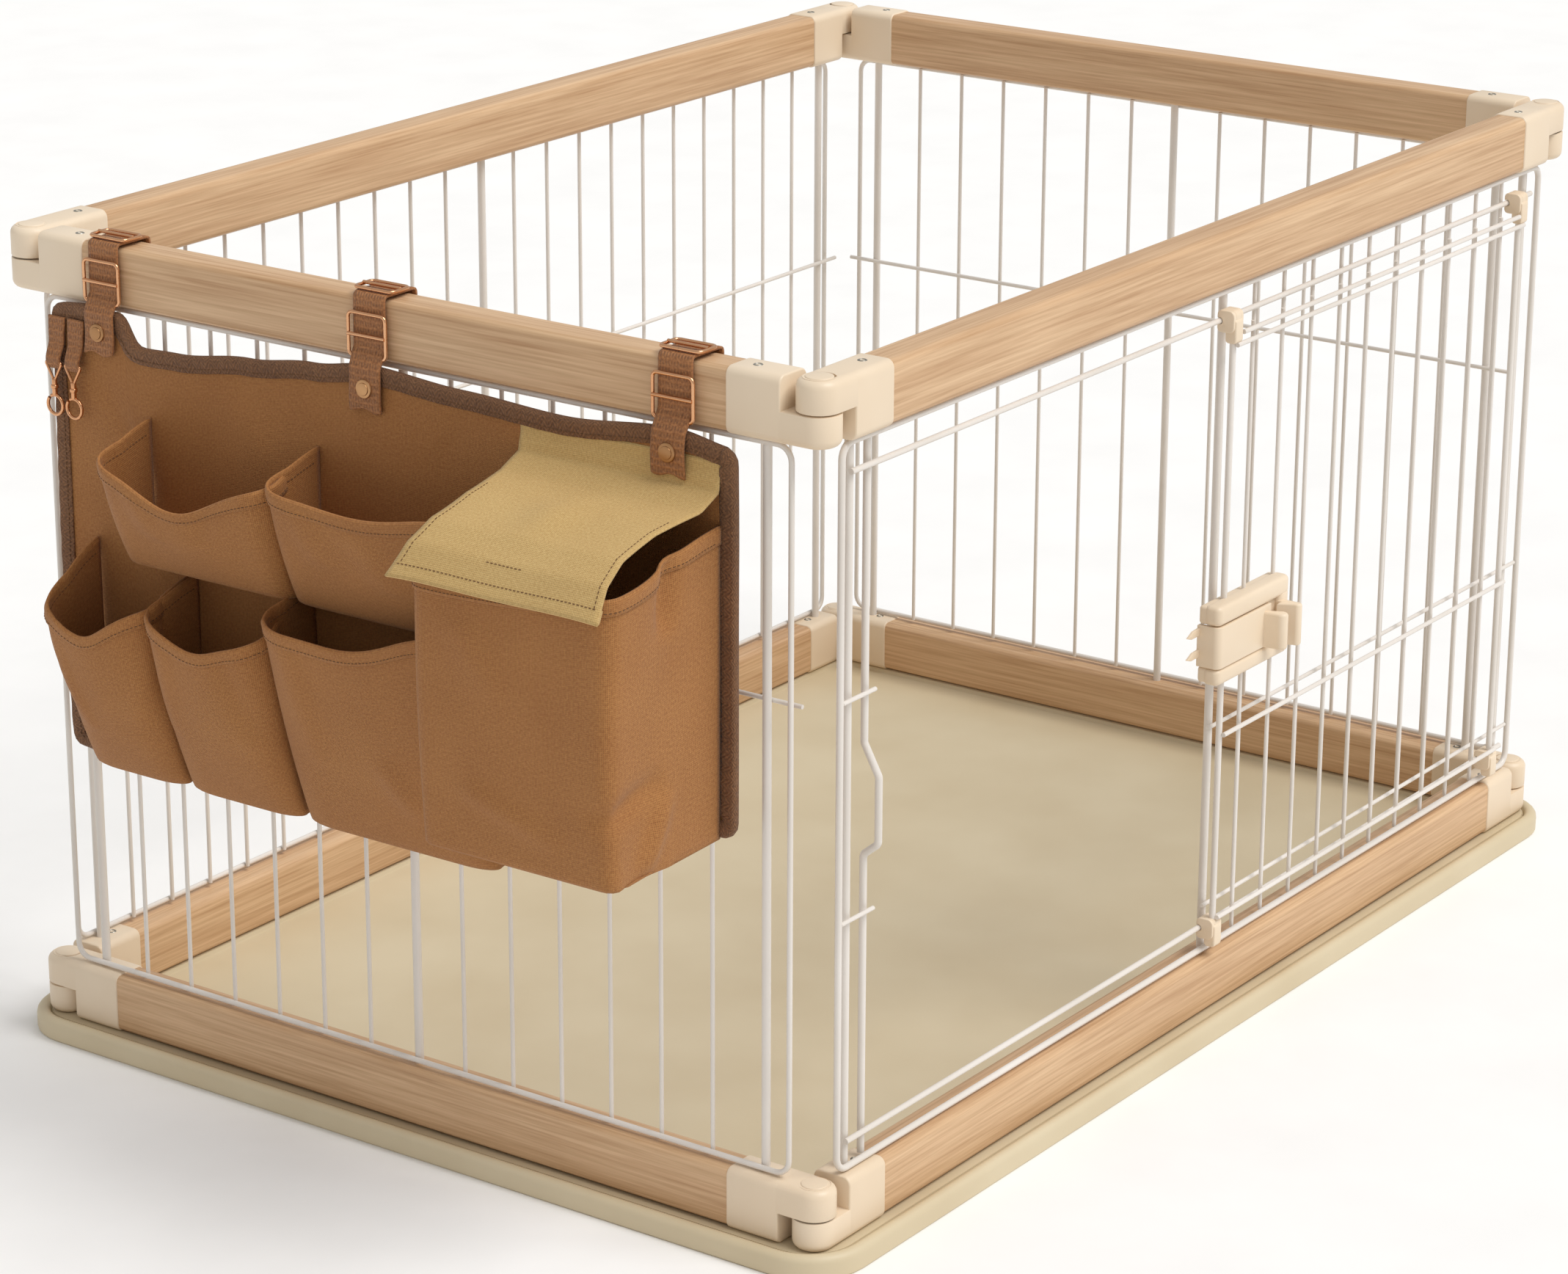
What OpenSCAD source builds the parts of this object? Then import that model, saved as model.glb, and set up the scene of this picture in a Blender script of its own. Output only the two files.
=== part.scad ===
// Pet playpen: four wood-look railed wire panels pinned at the corners, a
// sliding door in the front panel, a floor tray, and a canvas organizer
// strapped over the rail of the left end panel.
// Origin: centre of the tray's underside. +X along the long side, the door
// panel faces -Y, the organizer hangs on the -X end, +Z up. Millimetres.

/* [Pen] */
// Pin-to-pin length of the long panels
pen_l = 936; // [930:1:945]
// Pin-to-pin length of the end panels
pen_w = 634; // [630:1:640]
// Height from the top of the bottom caps to the top of the top caps
pen_h = 518; // [516:1:522]

/* [Rails and caps] */
// Width of a rail
rail_w = 26; // [24:0.5:27]
// Height of a rail
rail_h = 40; // [38:0.5:41]
// Edge radius of a rail
rail_r = 4.5; // [3:0.5:6]
// How far a cap stands proud of its rail on each face
cap_proud = 1; // [0.5:0.1:1.5]
// Length of a cap, from the pin axis
cap_l = 58; // [52:1:64]
// Shaft diameter of a corner pin
pin_d = 8; // [6:0.5:9]
// Head diameter of a corner pin
pin_head_d = 18; // [14:0.5:19]

/* [Wires] */
// Spacing of the upright wires
pitch = 40; // [40:1:40]
// Diameter of an upright wire
wire_d = 3; // [2.5:0.1:3.2]
// Diameter of the loop around a panel's wires
loop_d = 3.8; // [3.4:0.1:4.2]
// Diameter of the front panel's loop, which also frames the doorway
front_loop_d = 4.6; // [4:0.1:4.8]
// Diameter of the thick rods between the rails
rod_d = 6; // [5:0.5:6]
// Height of the cross wire above the bottom caps
cross_z = 309; // [290:1:330]

/* [Door] */
// Diameter of the two rods that guide the door
guide_d = 4; // [3.5:0.1:4.2]
// Distance of the door's wires outside the front panel's plane
door_out = 12.5; // [12.3:0.1:13]
// Width of the door between its side bars
door_w = 415; // [413:0.5:416]
// Travel of the door from parked to latched
door_travel = 377; // [370:1:380]

/* [Tray] */
// How far the tray reaches past the pin axes
tray_past = 29; // [28:0.5:32]
// Height of the tray's rim
tray_h = 15.7; // [15.5:0.1:17]
// Wall of the tray
tray_t = 3; // [2.5:0.1:3.5]

/* [Organizer] */
// Thickness of the stiffened canvas back
canvas_t = 3; // [2.5:0.1:3.2]
// Depth of the big pocket
big_d = 110; // [100:1:115]

/* [Hidden] */
$fn = 32;
gap = 0.1;                                // clearance between fitted pieces
weld = 0.05;                              // air left where two wires are welded
cap_w = rail_w + 2 * cap_proud;
cap_h = rail_h + 2 * cap_proud;
ledge_z = 13.1;                           // the tray's ledge, under the bottom caps
cap_z = ledge_z + gap;                    // underside of the bottom caps
base_z = cap_z + cap_h;                   // top of the bottom caps
top_cap_z = base_z + pen_h - cap_h;       // underside of the top caps
knuckle_h = cap_h / 2 - 0.5;              // each knuckle takes half the cap's height
knuckle_clear = cap_w / 2 + 4.5;          // where a cap's full height starts
recess_t = 2;                             // depth of the pin head's recess
tenon_l = 26;                             // rail tenon inside the cap
tenon_w = 20;
tenon_h = 34;
screw_u = 44;                             // screw position from the pin axis
screw_d = 3.5;
screw_head_d = 5.2;
screw_deep = 16;
rod_inset = 33;                           // outer thick rods, from the pin axis on a long panel
end_rod_inset = 37;                       // the same on an end panel
loop_inset = 16;                          // the loop's uprights, from the pin axis
loop_r = 10;                              // corner radius of a loop
wire_y = -wire_d / 2;                     // upright wires, welded inside the loop
loop_lo = base_z + 2.7;                   // lower run of a loop
loop_hi = top_cap_z - 2.4;                // upper run, under the top rail
cross_y = (rod_d + wire_d) / 2 + weld;    // cross wires lie on the rods
guide_y = -(rod_d + guide_d) / 2 - weld;
guide_lo = base_z + 20;
guide_hi = base_z + 454.5;
guide_u0 = 26;
guide_u1 = 909;
door_u0 = 461.5;                          // door's left bar, door slid open
door_bar_d = 4.6;
door_lo = base_z + 28.5;
door_mid = base_z + 163;
door_hi = base_z + 446;
door_hi2 = base_z + 438.5;
door_rail_y = -door_out - (wire_d + 3.4) / 2 - weld;
clip_u = 9;                               // length of a door clip along its rod
clip_back = 3.4;                          // a clip's jaws stop short of the rods
clip_bore_r = guide_d / 2 + 0.25;
latch_u0 = 438;
latch_u1 = 534;
latch_z0 = base_z + 205;
latch_h = 56;
latch_out = 23.5;                         // front of the latch, outside the panel's plane
latch_back = 6.1;                         // rear of the latch
latch_travel = 10;
slider_h = 30;
slider_t = 3.5;                           // thickness of the slider's band
prong_l = 15;
prong_t = 2;
keeper_u = 50;
keeper_d = 5;
keeper_bulge = 11;
org_x = -(pen_l / 2 + 16);                // inner face of the organizer's back
org_top = base_z + 475;
org_y0 = -pen_w / 2 + 47;
org_y1 = -pen_w / 2 + 600;
org_out = org_x - canvas_t;               // outer face of the back
bind_w = 16;
pocket_t = 2.4;
strap_w = 25;
strap_t = 1.8;
strap_ys = [for (y = [93, 330, 555]) y - pen_w / 2];
strap_x = -(pen_l / 2 + rail_w / 2);      // outer face of the left rail
hook_ys = [for (y = [577, 594]) y - pen_w / 2];
flap_y0 = -pen_w / 2 + 56;
flap_y1 = -pen_w / 2 + 212;
flap_z = base_z + 442;                    // the flap hangs free below its sewn band
big_z1 = base_z + 396;

beige = [0.89, 0.80, 0.68];
oak = [0.77, 0.61, 0.45];
cream = [0.95, 0.93, 0.90];
canvas = [0.60, 0.45, 0.26];

// ---------- outlines ----------
// Rectangle w by h about the origin with corner radius r, n steps a corner
function rounded(w, h, r, n = 5) = [for (q = [0:3]) for (i = [0:n])
  let (a = 90 * q + 90 * i / n, sx = (q == 0 || q == 3) ? 1 : -1, sy = q < 2 ? 1 : -1)
  [sx * (w / 2 - r) + r * cos(a), sy * (h / 2 - r) + r * sin(a)]];
// Points of an arc of radius r about c, from angle a0 to a1
function arc(c, r, a0, a1, n) = [for (i = [0:n])
  let (a = a0 + (a1 - a0) * i / n) [c[0] + r * cos(a), c[1] + r * sin(a)]];
function panel_len(p) = (p == "front" || p == "back") ? pen_l : pen_w;
function is_long(p) = p == "front" || p == "back";

// Puts a panel drawn along +X, outer face -Y, at its side of the pen
module at_panel(p) {
  if (p == "front") translate([-pen_l / 2, -pen_w / 2, 0]) children();
  if (p == "back") translate([pen_l / 2, pen_w / 2, 0]) rotate([0, 0, 180]) children();
  if (p == "left") translate([-pen_l / 2, pen_w / 2, 0]) rotate([0, 0, -90]) children();
  if (p == "right") translate([pen_l / 2, -pen_w / 2, 0]) rotate([0, 0, 90]) children();
}
module bar_x(u0, u1, y, z, d) translate([u0, y, z]) rotate([0, 90, 0]) cylinder(h = u1 - u0, d = d);
module bar_z(u, y, z0, z1, d) translate([u, y, z0]) cylinder(h = z1 - z0, d = d);
module prism_x(u0, u1, pts) translate([u0, 0, 0]) rotate([90, 0, 90]) linear_extrude(u1 - u0) polygon(pts);
// Both ends of a panel of length len
module both_ends(len) {
  children();
  translate([len, 0, 0]) mirror([1, 0, 0]) children();
}

// ---------- rails, caps, screws and pins ----------
module rail(p, z) {
  len = panel_len(p);
  color(oak) at_panel(p) difference() {
    translate([0, 0, z + cap_h / 2]) {
      prism_x(cap_l + gap, len - cap_l - gap, rounded(rail_w, rail_h, rail_r));
      translate([cap_l + gap - tenon_l, -tenon_w / 2, -tenon_h / 2])
        cube([len - 2 * (cap_l + gap - tenon_l), tenon_w, tenon_h]);
    }
    for (u = [screw_u, len - screw_u])
      translate([u, 0, z + cap_h - screw_deep - 1]) cylinder(h = screw_deep + 2, d = screw_d + gap);
    for (u = rod_us(p)) bar_z(u, 0, z > cap_z ? z - 1 : z + cap_h - 13,
                              z > cap_z ? z + 13 : z + cap_h + 1, rod_d + gap);
  }
}
// A cap: sleeve over the rail's tenon, and one knuckle, upper or lower
module cap(z, upper, rod_u) difference() {
  translate([0, 0, z]) {
    intersection() {
      translate([0, 0, cap_h / 2]) prism_x(-cap_w, cap_l, rounded(cap_w, cap_h, rail_r));
      union() {
        translate([knuckle_clear, -cap_w, 0]) cube([cap_l - knuckle_clear, 2 * cap_w, cap_h]);
        translate([0, 0, upper ? cap_h - knuckle_h : 0]) linear_extrude(knuckle_h)
          polygon(concat(arc([0, 0], cap_w / 2 - 0.01, 90, 270, 20),
                         [[knuckle_clear + 1, -cap_w / 2 + 0.01], [knuckle_clear + 1, cap_w / 2 - 0.01]]));
      }
    }
  }
  translate([cap_l - tenon_l - gap, -tenon_w / 2 - gap, z + (cap_h - tenon_h) / 2 - gap])
    cube([tenon_l + 1, tenon_w + 2 * gap, tenon_h + 2 * gap]);
  bar_z(0, 0, z - 1, z + cap_h + 1, pin_d + gap);
  if (upper) bar_z(0, 0, z + cap_h - recess_t, z + cap_h + 1, pin_head_d + 1.6);
  bar_z(rod_u, 0, z > cap_z ? z - 1 : z + cap_h - 13, z > cap_z ? z + 13 : z + cap_h + 1, rod_d + gap);
  bar_z(screw_u, 0, z + cap_h - 5, z + cap_h + 1, screw_d + gap);
  bar_z(screw_u, 0, z + cap_h - 2.6, z + cap_h + 1, screw_head_d + 1);
}
module caps(p, z, upper) color(beige) at_panel(p) both_ends(panel_len(p)) cap(z, upper, rod_us(p)[0]);
module cap_screws() color([0.62, 0.58, 0.52])
  for (p = ["front", "back", "left", "right"]) at_panel(p) both_ends(panel_len(p))
    for (z = [cap_z, top_cap_z]) {
      bar_z(screw_u, 0, z + cap_h - screw_deep, z + cap_h - 2.5, screw_d);
      bar_z(screw_u, 0, z + cap_h - 2.55, z + cap_h - 0.8, screw_head_d);
    }
// A corner pin: shaft through both knuckles under a flat round head
module pin(x, y, z) color(beige) translate([x * pen_l / 2, y * pen_w / 2, z]) {
  bar_z(0, 0, 3.5, cap_h - recess_t + 0.5, pin_d);
  bar_z(0, 0, cap_h - recess_t + gap, cap_h + 0.6, pin_head_d);
}

// ---------- wire panels ----------
function rod_us(p) = p == "front" ? [31, 468, 905]
  : is_long(p) ? [rod_inset, pen_l / 2, pen_l - rod_inset]
  : [end_rod_inset, pen_w / 2, pen_w - end_rod_inset];
// Upright wires of a panel; the front panel is wired only behind the parked door
function wire_us(p) = p == "front" ? [for (k = [1:10]) pen_l / 2 + pitch * k]
  : is_long(p) ? [for (k = [-10:10]) if (k != 0) pen_l / 2 + pitch * k]
  : [for (k = [-6:6]) if (k != 0) pen_w / 2 + pitch * k];
module thick_rods(p) color(cream) at_panel(p)
  for (u = rod_us(p)) bar_z(u, 0, base_z - 12, top_cap_z + 12, rod_d);
// Rounded rectangular loop of round wire, lying in the plane y
module wire_loop(u0, u1, z0, z1, y, d) {
  bar_x(u0 + loop_r, u1 - loop_r, y, z0, d);
  bar_x(u0 + loop_r, u1 - loop_r, y, z1, d);
  for (u = [u0, u1]) bar_z(u, y, z0 + loop_r, z1 - loop_r, d);
  for (c = [[u0, z0, 180], [u1, z0, 270], [u1, z1, 0], [u0, z1, 90]])
    translate([c[0] + (c[0] == u0 ? loop_r : -loop_r), y, c[1] + (c[1] == z0 ? loop_r : -loop_r)])
      rotate([90, 0, 0]) rotate([0, 0, c[2]])
        rotate_extrude(angle = 90) translate([loop_r, 0]) circle(d = d);
}
function loop_dia(p) = p == "front" ? front_loop_d : loop_d;
module panel_loop(p) color(cream) at_panel(p)
  wire_loop(loop_inset, panel_len(p) - loop_inset, loop_lo, loop_hi,
            -(rod_d + loop_dia(p)) / 2 - weld, loop_dia(p));
module wires(p) color(cream) at_panel(p) {
  for (u = wire_us(p)) bar_z(u, wire_y, loop_lo, loop_hi, wire_d);
  if (p == "front")
    for (z = [34.7, 165.7]) bar_x(pen_l / 2 - 8, pen_l - loop_inset - front_loop_d / 2 - weld, -cross_y, base_z + z, wire_d);
  else
    bar_x(loop_inset - 2, panel_len(p) - loop_inset + 2, cross_y, base_z + cross_z, wire_d);
}
module guide_rods() color(cream) at_panel("front")
  for (z = [guide_lo, guide_hi]) bar_x(guide_u0, guide_u1, guide_y, z, guide_d);
// The upright that the latch meets, cranked outwards between two short ties
module keeper_bar() color(cream) at_panel("front") {
  z_in = [base_z + 203, base_z + 276];
  z_out = [base_z + 212, base_z + 256];
  bar_z(keeper_u, 0, loop_lo, z_in[0], keeper_d);
  bar_z(keeper_u, 0, z_in[1], loop_hi, keeper_d);
  bar_z(keeper_u, -keeper_bulge, z_out[0], z_out[1], keeper_d);
  for (i = [0, 1]) hull() {
    translate([keeper_u, 0, z_in[i]]) sphere(d = keeper_d, $fn = 16);
    translate([keeper_u, -keeper_bulge, z_out[i]]) sphere(d = keeper_d, $fn = 16);
  }
  for (z = [168, 311])
    bar_x(loop_inset + front_loop_d / 2 + weld, keeper_u + 3, -cross_y - 1.1, base_z + z, wire_d);
}

// ---------- door ----------
door_u1 = door_u0 + door_w;
module door_frame() color(cream) at_panel("front") {
  for (u = [door_u0, door_u1]) {
    bar_z(u, -door_out, base_z + 10, guide_hi - 2, door_bar_d);
    // the bar's top curls in over the guide rod
    translate([u, -door_out + 6, guide_hi - 2]) rotate([90, 0, -90])
      rotate_extrude(angle = 90) translate([6, 0]) circle(d = door_bar_d);
  }
  for (z = [door_lo, door_mid, door_hi, door_hi2])
    bar_x(door_u0 + (z == door_hi ? 8 : -1), door_u1 + (z == door_hi ? -8 : 1), door_rail_y - 0.8, z, 3.4);
}
module door_wires() color(cream) at_panel("front")
  for (k = [0:9]) bar_z(door_wire_u + pitch * k, -door_out, base_z + 25, base_z + 449, wire_d);
door_wire_u = 488;
// A clip: a block on the door bar with two jaws round a guide rod, open inwards
module door_clip(u, z, lo, hi) difference() {
  union() {
    translate([u - clip_u / 2, -door_out - 4.6, z + lo]) cube([clip_u, 8.2, hi - lo]);
    prism_x(u - clip_u / 2, u + clip_u / 2,
      [for (q = rounded(13, 15, 5)) [q[0] - clip_back - 6.5, q[1] + z]]);
  }
  bar_x(u - clip_u, u + clip_u, guide_y, z, 2 * clip_bore_r);
  translate([u - clip_u, guide_y, z - clip_bore_r * 0.86]) cube([2 * clip_u, 9, clip_bore_r * 1.72]);
  bar_z(u, -door_out, z - 30, z + 8, door_bar_d + gap);
  translate([u, -door_out + 6, z - 2]) rotate([90, 0, -90])
    rotate_extrude(angle = 90) translate([6, 0]) circle(d = door_bar_d + gap);
}
module door_clips() color(beige) at_panel("front")
  for (u = [door_u0, door_u1]) {
    door_clip(u, guide_hi, -14, 3);
    door_clip(u, guide_lo, -12, 5);
  }

// ---------- latch ----------
slider_z = latch_z0 + latch_h / 2 - 1;
// Extrudes an outline drawn in X and Z between two distances outside the panel
module outwards(y0, y1) translate([0, -y0, 0]) rotate([90, 0, 0]) linear_extrude(y1 - y0) children();
module latch_block(y0, y1, r) translate([0, 0, latch_z0]) linear_extrude(latch_h)
  translate([(latch_u0 + latch_u1) / 2, -(y0 + y1) / 2]) polygon(rounded(latch_u1 - latch_u0, y1 - y0, r));
module latch_holes() {
  bar_z(door_u0, -door_out, latch_z0 - 1, latch_z0 + latch_h + 1, door_bar_d + gap);
  for (k = [0, 1])
    bar_z(door_wire_u + pitch * k, -door_out, latch_z0 - 1, latch_z0 + latch_h + 1, wire_d + gap);
}
// Room that the slider's band sweeps: the front channel and the open left side
module slider_room(clear) {
  translate([latch_u0 - 1, -latch_out - clear, slider_z - slider_h / 2 - clear])
    cube([latch_u1 - 14 - latch_u0, slider_t + 2 * clear, slider_h + 2 * clear]);
  translate([latch_u0 - 1, -latch_out - 1, slider_z - slider_h / 2 - clear])
    cube([slider_t + latch_travel + 4, latch_out, slider_h + 2 * clear]);
}
module latch_housing() color(beige) at_panel("front") difference() {
  union() {
    latch_block(door_out + gap / 2, latch_out, 4.5);
    // fixed finger tab, leaning out over the end of the slider's channel
    translate([0, 0, slider_z - 17]) linear_extrude(30)
      polygon(concat([[latch_u1 - 8, -latch_out + 3], [latch_u1 - 14, -latch_out + 3],
                      [latch_u1 - 14, -latch_out - 0.7], [latch_u1 - 19.6, -latch_out - 0.7]],
                     arc([latch_u1 - 11, -latch_out - 11.7], 3.6, 170, 380, 8)));
  }
  slider_room(0.4);
  latch_holes();
  // well for the return spring
  translate([door_u0 + 4, -latch_out + slider_t - 1, slider_z - 3.2]) cube([19.4, 6.2, 6.4]);
}
module latch_back_plate() color(beige) at_panel("front") difference() {
  latch_block(latch_back, door_out - gap / 2, 2.5);
  slider_room(0.4);
  latch_holes();
}
module latch_slider() color(beige) at_panel("front") {
  band_u1 = latch_u1 - 26;
  translate([0, 0, slider_z - slider_h / 2]) linear_extrude(slider_h)
    polygon(concat([[latch_u0, -latch_back]], arc([latch_u0 + 5, -latch_out + 5], 5, 180, 270, 6),
                   [[band_u1, -latch_out], [band_u1, -latch_out + slider_t], [latch_u0 + 6, -latch_out + slider_t],
                    [latch_u0 + slider_t, -latch_out + 6], [latch_u0 + slider_t, -latch_back]]));
  // two wedge-ended prongs that reach past the keeper, behind its crank
  for (s = [-1, 1]) outwards(latch_back, latch_back + prong_t) translate([latch_u0 + 1, slider_z + 2 + s * 7.7])
    polygon([[0, -2.6], [0, 3], [-prong_l + 6, 2.4], [-prong_l - 1, -1], [-prong_l + 4, -2.6]]);
  // finger tab: a wall that ends in a rounded bar
  translate([0, 0, slider_z - 14.9]) linear_extrude(26)
    polygon(concat([[latch_u0 + 65, -latch_out + 1], [latch_u0 + 60, -latch_out + 1], [latch_u0 + 61, -latch_out - 8]],
                   arc([latch_u0 + 65.5, -latch_out - 10.8], 4.6, 170, 395, 10)));
  // peg that the return spring pushes
  translate([door_u0 + 4.2, -latch_out + slider_t - 1, slider_z - 2.5]) cube([2.5, 4.6, 5]);
}
// Return spring between the slider's peg and the end of its well
module latch_spring() color([0.7, 0.7, 0.72]) at_panel("front")
  for (k = [0:5]) translate([door_u0 + 7.4 + 2.9 * k, -latch_out + slider_t + 2.4, slider_z])
    rotate([0, 90, 0]) rotate_extrude() translate([1.8, 0]) circle(d = 0.8, $fn = 16);

// ---------- organizer ----------
// Extrudes an outline drawn in Y and Z, from x towards the outside by t
module sheet_x(x, t) translate([x - t, 0, 0]) rotate([90, 0, 90]) linear_extrude(t) children();
org_lo_near = base_z + 222;
org_lo_far = base_z + 166;
module back_outline() polygon([[org_y0, org_lo_near], [-pen_w / 2 + 210, org_lo_near],
  [-pen_w / 2 + 216, org_lo_far + 6], [org_y1, org_lo_far], [org_y1, org_top], [org_y0, org_top]]);
module inner_outline() polygon([[org_y0 + bind_w, org_lo_near + 6], [-pen_w / 2 + 216, org_lo_near + 6],
  [-pen_w / 2 + 226, org_lo_far + 14], [org_y1 - bind_w, org_lo_far + 8],
  [org_y1 - bind_w, org_top - bind_w], [org_y0 + bind_w, org_top - bind_w]]);
module organizer_back() color(canvas) sheet_x(org_x, canvas_t) inner_outline();
module organizer_binding() color([0.43, 0.33, 0.25]) sheet_x(org_x + 0.3, canvas_t + 0.8)
  difference() {
    back_outline();
    inner_outline();
  }
// Open-topped pocket sewn on the back: D-shaped plan from y0 to y1, depth d
module pocket(y0, y1, z0, z1, d, r, x = org_out - 0.9) translate([x, (y0 + y1) / 2, z0])
  difference() {
    linear_extrude(z1 - z0) pocket_plan(y1 - y0, d, r);
    translate([0, 0, pocket_t]) linear_extrude(z1 - z0)
      translate([-pocket_t, 0]) pocket_plan(y1 - y0 - 2 * pocket_t, d - 2 * pocket_t, r - pocket_t);
  }
module pocket_plan(w, d, r) polygon(concat([[0, w / 2]], arc([r - d, w / 2 - r], r, 90, 180, 8),
  arc([r - d, r - w / 2], r, 180, 270, 8), [[0, -w / 2]]));
module big_pocket() color(canvas) pocket(-pen_w / 2 + 58, -pen_w / 2 + 208, base_z + 223, big_z1, big_d, 30);
module upper_pockets() color(canvas) {
  pocket(-pen_w / 2 + 214, -pen_w / 2 + 371, base_z + 322, base_z + 398, 56, 16);
  pocket(-pen_w / 2 + 375, -pen_w / 2 + 516, base_z + 322, base_z + 398, 56, 16);
}
lower_ys = [[220, 379], [381, 479], [481, 569]];
// Pocket whose front leans in to a narrow foot: the same plan, cut by a sloping plane
module leaning_pocket(y0, y1, z0, z1, d, foot, r, x = org_out - 0.9) difference() {
  intersection() {
    translate([x, (y0 + y1) / 2, z0]) linear_extrude(z1 - z0) pocket_plan(y1 - y0, d, r);
    side_y(x, y0 - 1, y1 + 1) polygon([[1, z0], [-foot, z0], [-d, z1], [1, z1]]);
  }
  intersection() {
    translate([x - pocket_t, (y0 + y1) / 2, z0 + pocket_t]) linear_extrude(z1 - z0)
      pocket_plan(y1 - y0 - 2 * pocket_t, d - 2 * pocket_t, r - pocket_t);
    side_y(x, y0 - 1, y1 + 1)
      polygon([[1, z0], [pocket_t - foot, z0], [pocket_t - d, z1], [pocket_t - d, z1 + 5], [1, z1 + 5]]);
  }
}
// Extrudes an outline drawn in X and Z between two places along Y
module side_y(x, y0, y1) translate([x, y1, 0]) rotate([90, 0, 0]) linear_extrude(y1 - y0) children();
module lower_pockets() color(canvas)
  for (y = lower_ys) leaning_pocket(y[0] - pen_w / 2, y[1] - pen_w / 2, base_z + 168, base_z + 306, 62, 18, 16);
// Flap: one curved sheet from its sewn band out over the big pocket's rim.
// Each point is its distance out from the back and its height above flap_z.
flap_line = [[3.5, 1.3], [20, -3], [60, -10], [88, -18.5], [104, -27], [114, -38], [118.5, -53]];
flap_t = 2.2;
module pocket_flap() color([0.66, 0.53, 0.33])
  translate([org_out, flap_y1, flap_z]) rotate([90, 0, 0]) linear_extrude(flap_y1 - flap_y0)
    polygon(concat([for (p = flap_line) [-p[0], p[1]]],
                   [for (i = [len(flap_line) - 1:-1:0])
                     let (a = flap_line[max(0, i - 1)], b = flap_line[min(len(flap_line) - 1, i + 1)],
                          d = norm(b - a))
                     [-flap_line[i][0] - flap_t * (b[1] - a[1]) / d, flap_line[i][1] - flap_t * (b[0] - a[0]) / d]]));
// Strap around the rail: inner run, top run, outer run
module strap_loops() color(canvas * 1.05)
  for (y = strap_ys) translate([0, y - strap_w / 2, 0]) {
    x1 = -(pen_l / 2 - cap_w / 2);
    x0 = -(pen_l / 2 + cap_w / 2);
    z1 = top_cap_z + cap_h;
    difference() {
      translate([x0 - strap_t, 0, top_cap_z + 4]) cube([cap_w + 2 * strap_t, strap_w, cap_h - 4 + strap_t]);
      translate([x0, -1, top_cap_z + 3]) cube([cap_w, strap_w + 2, z1 - top_cap_z - 3]);
    }
  }
module strap_tails() color(canvas * 1.05)
  for (y = strap_ys) translate([org_out - 1 - strap_t, y - strap_w / 2, base_z + 446])
    cube([strap_t, strap_w, top_cap_z + 3 - base_z - 446]);
// Wire slider buckle lying on the strap: a rounded loop with a middle bar
module buckle() {
  w = strap_w + 7;
  h = 17;
  difference() {
    linear_extrude(2.4, center = true) polygon(rounded(w, h, 4));
    linear_extrude(4, center = true) polygon(rounded(w - 4.8, h - 4.8, 2));
  }
  translate([0, 0, 0.4]) cube([w - 4.7, 2.2, 2.2], center = true);
}
module strap_buckles() color([0.79, 0.54, 0.37]) for (y = strap_ys) {
  translate([-(pen_l / 2 + cap_w / 2) - strap_t - 1.7, y, top_cap_z + 20]) rotate([90, 0, 90]) buckle();
  translate([-(pen_l / 2) - 2, y, top_cap_z + cap_h + strap_t + 1.7]) rotate([0, 0, 90]) buckle();
}
module strap_snaps() color([0.63, 0.5, 0.32]) for (y = strap_ys)
  translate([org_out - 1 - strap_t - 0.1, y, base_z + 461]) rotate([0, -90, 0]) {
    cylinder(h = 1.6, d = 12);
    translate([0, 0, 1.6]) cylinder(h = 0.9, d = 7.5);
  }
// Two short webbing tabs near the far top corner; a swivel hook hangs in each
module hook_tabs() color(canvas)
  for (y = hook_ys) translate([org_out - 1 - strap_t, y - 6, base_z + 436])
    cube([strap_t, 12, 30]);
// A swivel snap hook hanging from (0, 0, 0) down -Z
module snap_hook() color([0.79, 0.54, 0.37]) {
  rotate([90, 0, 0]) rotate_extrude() translate([6, 0]) circle(d = 2, $fn = 16);
  bar_z(0, 0, -16, -6, 3.4);
  translate([0, 0, -24]) rotate([90, 0, 0]) rotate_extrude() translate([6.6, 0]) circle(d = 2.6, $fn = 16);
}
module hook_at(y) translate([org_out - 7, y, base_z + 431]) rotate([0, 0, 90]) snap_hook();

// ---------- tray ----------
function tray_plan(inset, r) = rounded(pen_l + 2 * (tray_past - inset), pen_w + 2 * (tray_past - inset), r, 8);
module tray() color([0.80, 0.74, 0.58]) {
  floor_z = 9.1;
  difference() {
    linear_extrude(tray_h) polygon(tray_plan(0, 42));
    translate([0, 0, ledge_z]) linear_extrude(9) polygon(tray_plan(10, 30));
    translate([0, 0, floor_z]) linear_extrude(9) polygon(tray_plan(40, 24));
    // hollow underside: under the rim, the ledge and the floor
    translate([0, 0, -1]) linear_extrude(1 + ledge_z - tray_t) difference() {
      polygon(tray_plan(tray_t, 39));
      polygon(tray_plan(38, 26));
    }
    translate([0, 0, -1]) linear_extrude(1 + floor_z - tray_t) polygon(tray_plan(40 + tray_t, 22));
  }
  // ribs under the floor
  difference() {
    union() {
      for (x = [-300, -150, 0, 150, 300]) translate([x - 1.5, -pen_w / 2 + 14, 0]) cube([3, pen_w - 28, floor_z - 1]);
      for (y = [-150, 0, 150]) translate([-pen_l / 2 + 14, y - 1.5, 0]) cube([pen_l - 28, 3, floor_z - 1]);
    }
  }
}

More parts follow.
